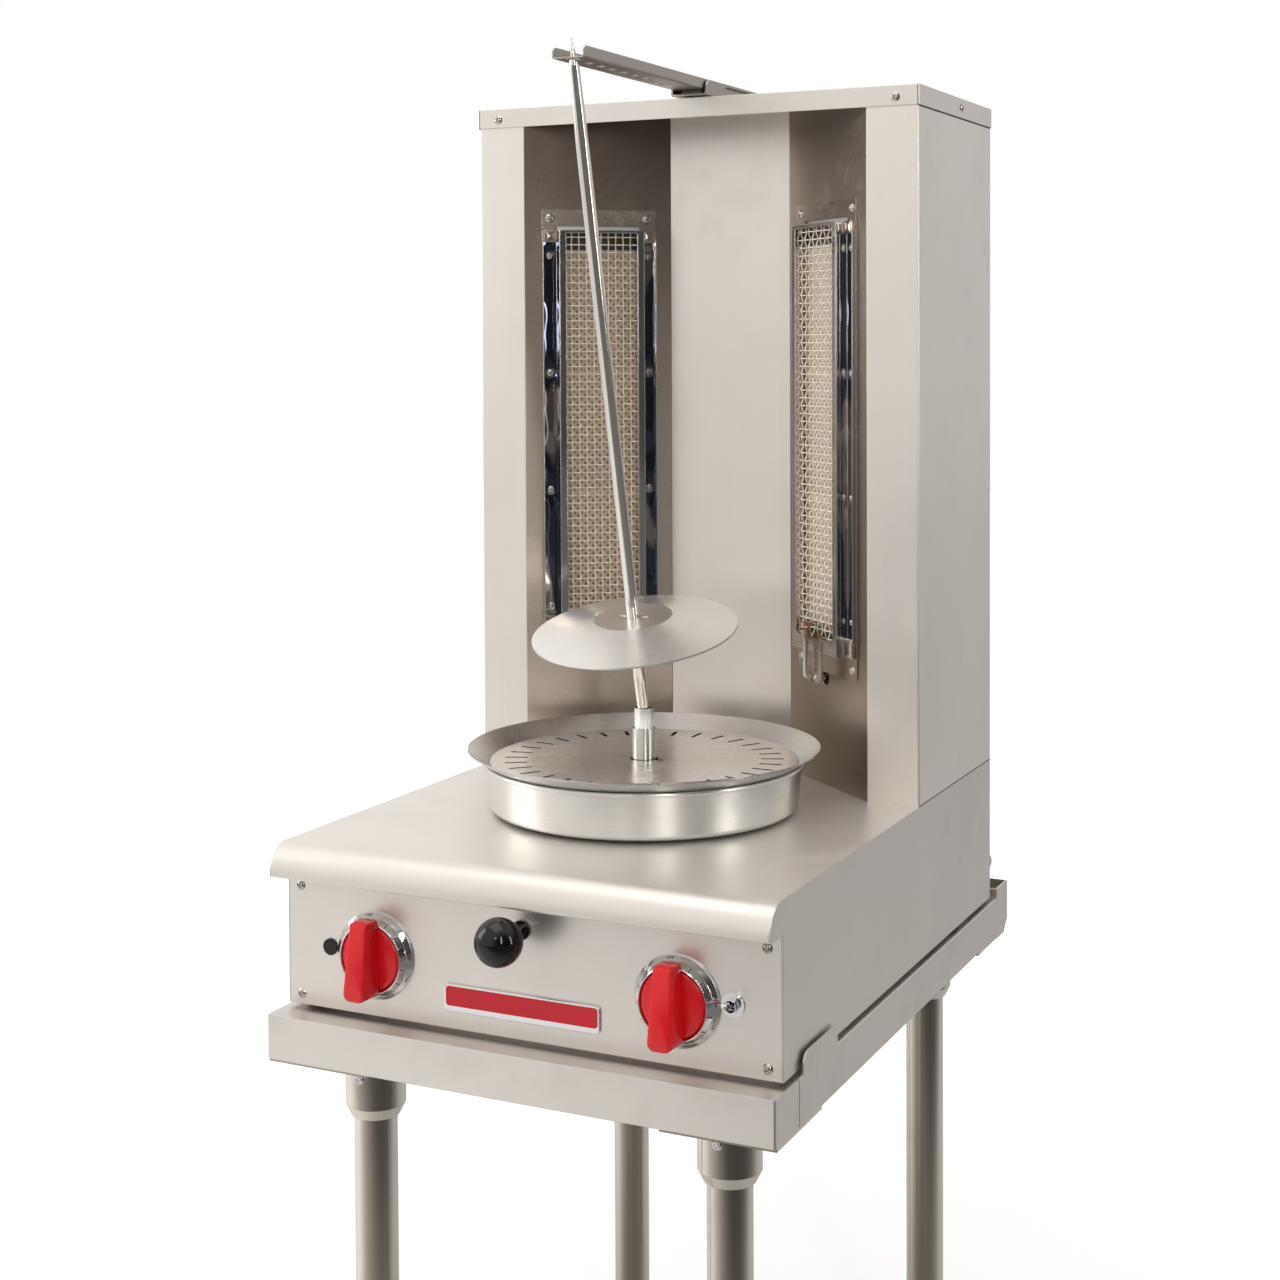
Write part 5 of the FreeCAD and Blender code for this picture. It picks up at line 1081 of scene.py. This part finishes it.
class GRILL_OT_controls(bpy.types.Operator):
    """Knobs, ball, bezel marks and the bare badge"""
    bl_idname = "grill.controls"
    bl_label = "Controls"

    def execute(self, context):
        settings = context.scene.grill_controls
        for name in SIDES:
            self.knob(settings, name)
            self.bezel(name)
            self.ticks(settings, name)
            for number, (word, angle) in enumerate((("OFF", 97), ("ON", 8), ("LOW", -22))):
                self.word(f"bezel_word_{name}_{number}", word, math.radians(angle), self.bezel_face(name))
        self.ball()
        self.badge(settings)
        self.seams()
        return {"FINISHED"}

    def bezel_face(self, name):
        low, high = box_of(f"valve_stem_{name}")
        middle = (low + high) / 2
        return Matrix.Translation((middle[0], box_of("knob_bezels")[1][1], middle[2])) @ FACING["front"]

    def bezel(self, name):
        """A turned ring: a low outer cone for the words, a step, and a steep mirrored cone up to the knob."""
        outline = rounded([
            (0.0310, 0.0), (0.0410, 0.0), (0.0410, 0.0026, 0.0008), (0.0372, 0.0062, 0.0004),
            (0.0368, 0.0070, 0.0003), (0.0334, 0.0115, 0.0006), (0.0326, 0.0120, 0.0004),
            (0.0318, 0.0118, 0.0004), (0.0310, 0.0100)], 4)
        made = lathe(f"bezel_{name}", outline, self.bezel_face(name), 160)
        put_on("chrome", made)
        if name == "left":
            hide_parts("knob_bezels")
        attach(made, "cabinet")

    def word(self, name, text, angle, face):
        """A small word laid on the bezel's outer cone, its foot toward the knob."""
        reach, lift, slope = 0.0391, 0.0045, 0.95
        curve = bpy.data.curves.new(name, "FONT")
        curve.body = text
        curve.size = 0.0042
        curve.align_x = "CENTER"
        curve.align_y = "CENTER"
        curve.extrude = 0.00006
        draft = linked(name, curve)
        mesh = bpy.data.meshes.new_from_object(draft.evaluated_get(bpy.context.evaluated_depsgraph_get()))
        bpy.data.objects.remove(draft)
        out = Vector((math.cos(angle), math.sin(angle), 0))
        right = Vector((math.sin(angle), -math.cos(angle), 0))
        up = (out - Vector((0, 0, slope))).normalized()
        turned = Matrix((right, up, right.cross(up))).transposed().to_4x4()
        mesh.transform(face @ Matrix.Translation(out * reach + Vector((0, 0, lift))) @ turned)
        made = linked(name, mesh)
        put_on("black_matte", made)
        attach(made, "cabinet")

    def seams(self):
        """Dark lines where one sheet ends on another, painting the shadow in the gaps and under the top cover's
        lip:
        thin quads a tenth of a millimetre proud of the steel.
        """
        low, high = box_of("tower_side_right")
        cover_low, cover_high = box_of("top_cover")
        proud, foot_width, head_width, corner_width, corner_inset = 0.0001, 0.0011, 0.0013, 0.0009, 0.0016
        runs = []
        for side in SIDES.values():
            x, y = side * (high[0] + proud), cover_low[1] - proud
            corner = side * (cover_high[0] - corner_inset)
            runs += [
                ((x, low[1], low[2]), (x, high[1], low[2]), (0, 0, foot_width)),
                ((x, low[1], cover_low[2]), (x, high[1], cover_low[2]), (0, 0, -head_width)),
                ((corner, y, cover_low[2]), (corner, y, cover_high[2]), (side * -corner_width, 0, 0))]
        points = np.array([
            (start, end, np.add(end, width), np.add(start, width)) for start, end, width in runs])
        made = mesh_object("seam_shadows", points, np.arange(len(runs) * 4).reshape(-1, 4))
        put_on("black_matte", made)
        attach(made, "cabinet")

    def knob(self, settings, name):
        """A skirt turned about the stem, and a bar whose outline is swept forward in rounded, crowned steps."""
        node = f"knob_{name}"
        low, high = box_of(node)
        stem_low, stem_high = box_of(f"valve_stem_{name}")
        middle = (stem_low + stem_high) / 2
        face = Matrix.Translation((middle[0], high[1], middle[2])) @ FACING["front"]
        skirt_radius = (high[0] - low[0]) / 2
        skirt = rounded([
            (0, 0), (skirt_radius - 0.0006, 0, 0.0006), (skirt_radius, 0.010, 0.003), (0.0, 0.0138)], 6)
        disc = lathe(f"knob_skirt_{name}", skirt, face, 96)
        put_on("red", disc)
        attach(disc, f"{name}_knob")
        depth = high[1] - low[1]
        top, bottom = high[2] - middle[2], low[2] - middle[2]
        head, foot, head_round, foot_round = 0.0095, 0.0125, 0.0014, 0.007
        outline = rounded([
            (-head, top, head_round), (-foot, bottom, foot_round), (foot, bottom, foot_round),
            (head, top, head_round)], 8)
        grid = stepped(
            outline, (0.010, 0.013, 0.6 * depth, depth - 0.0022, depth - 0.0008, depth - 0.0002, depth),
            (0.0014, 0.0, 0.0004, 0.0008, 0.0013, 0.0020, 0.0042))
        slope = np.clip(grid[..., 1] / top, 0, 1.2) ** 1.3 * 0.009
        grid[..., 2] -= slope * np.clip(grid[..., 2] / depth, 0, 1) ** 2
        grid[-1, :, 2] += settings.bar_lift * 0.4
        bar = merged(mesh_object(f"knob_bar_{name}", placed(grid.reshape(-1, 3), face),
                                 grid_faces(grid.shape[:2], wrap_columns=True), 45))
        put_on("red", bar)
        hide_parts(node)
        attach(bar, f"{name}_knob")

    def ticks(self, settings, name):
        """Short dark marks on the bezel's steep cone, evenly spaced over three quarters of a turn."""
        angle = np.linspace(math.radians(-60), math.radians(210), settings.ticks)[:, None, None]
        share = np.linspace(0, 1, 2)[None, :, None]
        half_width, foot_radius, foot_height, inward, rise = 0.0004, 0.0366, 0.0074, 0.0030, 0.0040
        around = np.array([-half_width, half_width])[None, None]
        out = foot_radius - inward * share + 0 * around
        high = foot_height + rise * share + 0 * around + 0 * angle
        x = out * np.cos(angle) - around * np.sin(angle)
        y = out * np.sin(angle) + around * np.cos(angle)
        points = placed(np.stack([x, y, high], axis=-1).reshape(-1, 3), self.bezel_face(name))
        made = mesh_object(f"bezel_marks_{name}", points, many_faces(settings.ticks, (2, 2)))
        put_on("black_matte", made)
        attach(made, "cabinet")

    def ball(self):
        """A sphere with a small flat where the rod enters, as a turned outline."""
        low, high = box_of("ball_knob")
        radius = (high[0] - low[0]) / 2
        centre = Vector((0, low[1] + radius, (low[2] + high[2]) / 2))
        angle = np.linspace(0, math.pi * 0.93, 64)
        outline = np.column_stack([radius * np.sin(angle), radius * np.cos(angle)])
        outline = np.vstack([outline, [(0.0, outline[-1, 1])]])
        made = lathe("ball", outline, Matrix.Translation(centre) @ FACING["front"], 128)
        put_on("black", made)
        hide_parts("ball_knob")
        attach(made, "carriage")

    def badge(self, settings):
        """A chrome frame with a bare red field, both rounded plates on the front panel."""
        low = box_of("front_panel")[0]
        wide, tall, border, foot = settings.badge_width / 2, settings.badge_height / 2, 0.002, 0.0035
        face = Matrix.Translation((0, low[1], settings.badge_low + tall)) @ FACING["front"]
        outline = plate_outline((-wide, -tall), (wide, tall), 0.004, 6)
        plate = extruded("badge_frame", outline, 0.0024, face, 0.0007)
        put_on("chrome", plate)
        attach(plate, "cabinet")
        inner, upper = wide - border, tall - border
        field = plate_outline((-inner, foot - upper), (inner, upper), 0.003, 6)
        red = extruded("badge_field", field, 0.0029, face, 0.0002)
        put_on("badge_red", red)
        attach(red, "cabinet")


class GRILL_PT_panel(bpy.types.Panel):
    """The grill's operators and settings"""
    bl_idname = "GRILL_PT_panel"
    bl_label = "Doner Grill"
    bl_space_type = "VIEW_3D"
    bl_region_type = "UI"
    bl_category = "Grill"

    def draw(self, context):
        for step in STEPS:
            self.layout.operator(step.bl_idname)
        for name, kind in SETTINGS.items():
            box = self.layout.box()
            for prop in kind.__annotations__:
                box.prop(getattr(context.scene, name), prop)


SETTINGS = {
    "grill_camera": GrillCamera,
    "grill_studio": GrillStudio,
    "grill_steel": GrillSteel,
    "grill_screen": GrillScreen,
    "grill_burners": GrillBurners,
    "grill_screws": GrillScrews,
    "grill_controls": GrillControls,
}
STEPS = (
    GRILL_OT_studio, GRILL_OT_finishes, GRILL_OT_screens, GRILL_OT_burners, GRILL_OT_screws, GRILL_OT_controls)


def register():
    for kind in (*SETTINGS.values(), *STEPS, GRILL_PT_panel):
        bpy.utils.register_class(kind)
    for name, kind in SETTINGS.items():
        setattr(bpy.types.Scene, name, PointerProperty(type=kind))


def unregister():
    for name in SETTINGS:
        delattr(bpy.types.Scene, name)
    for kind in reversed((*SETTINGS.values(), *STEPS, GRILL_PT_panel)):
        bpy.utils.unregister_class(kind)


def main():
    register()
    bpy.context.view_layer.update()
    bpy.ops.grill.studio()
    bpy.ops.grill.finishes()
    bpy.ops.grill.screens()
    bpy.ops.grill.burners()
    bpy.ops.grill.screws()
    bpy.ops.grill.controls()


if __name__ == "__main__":
    main()
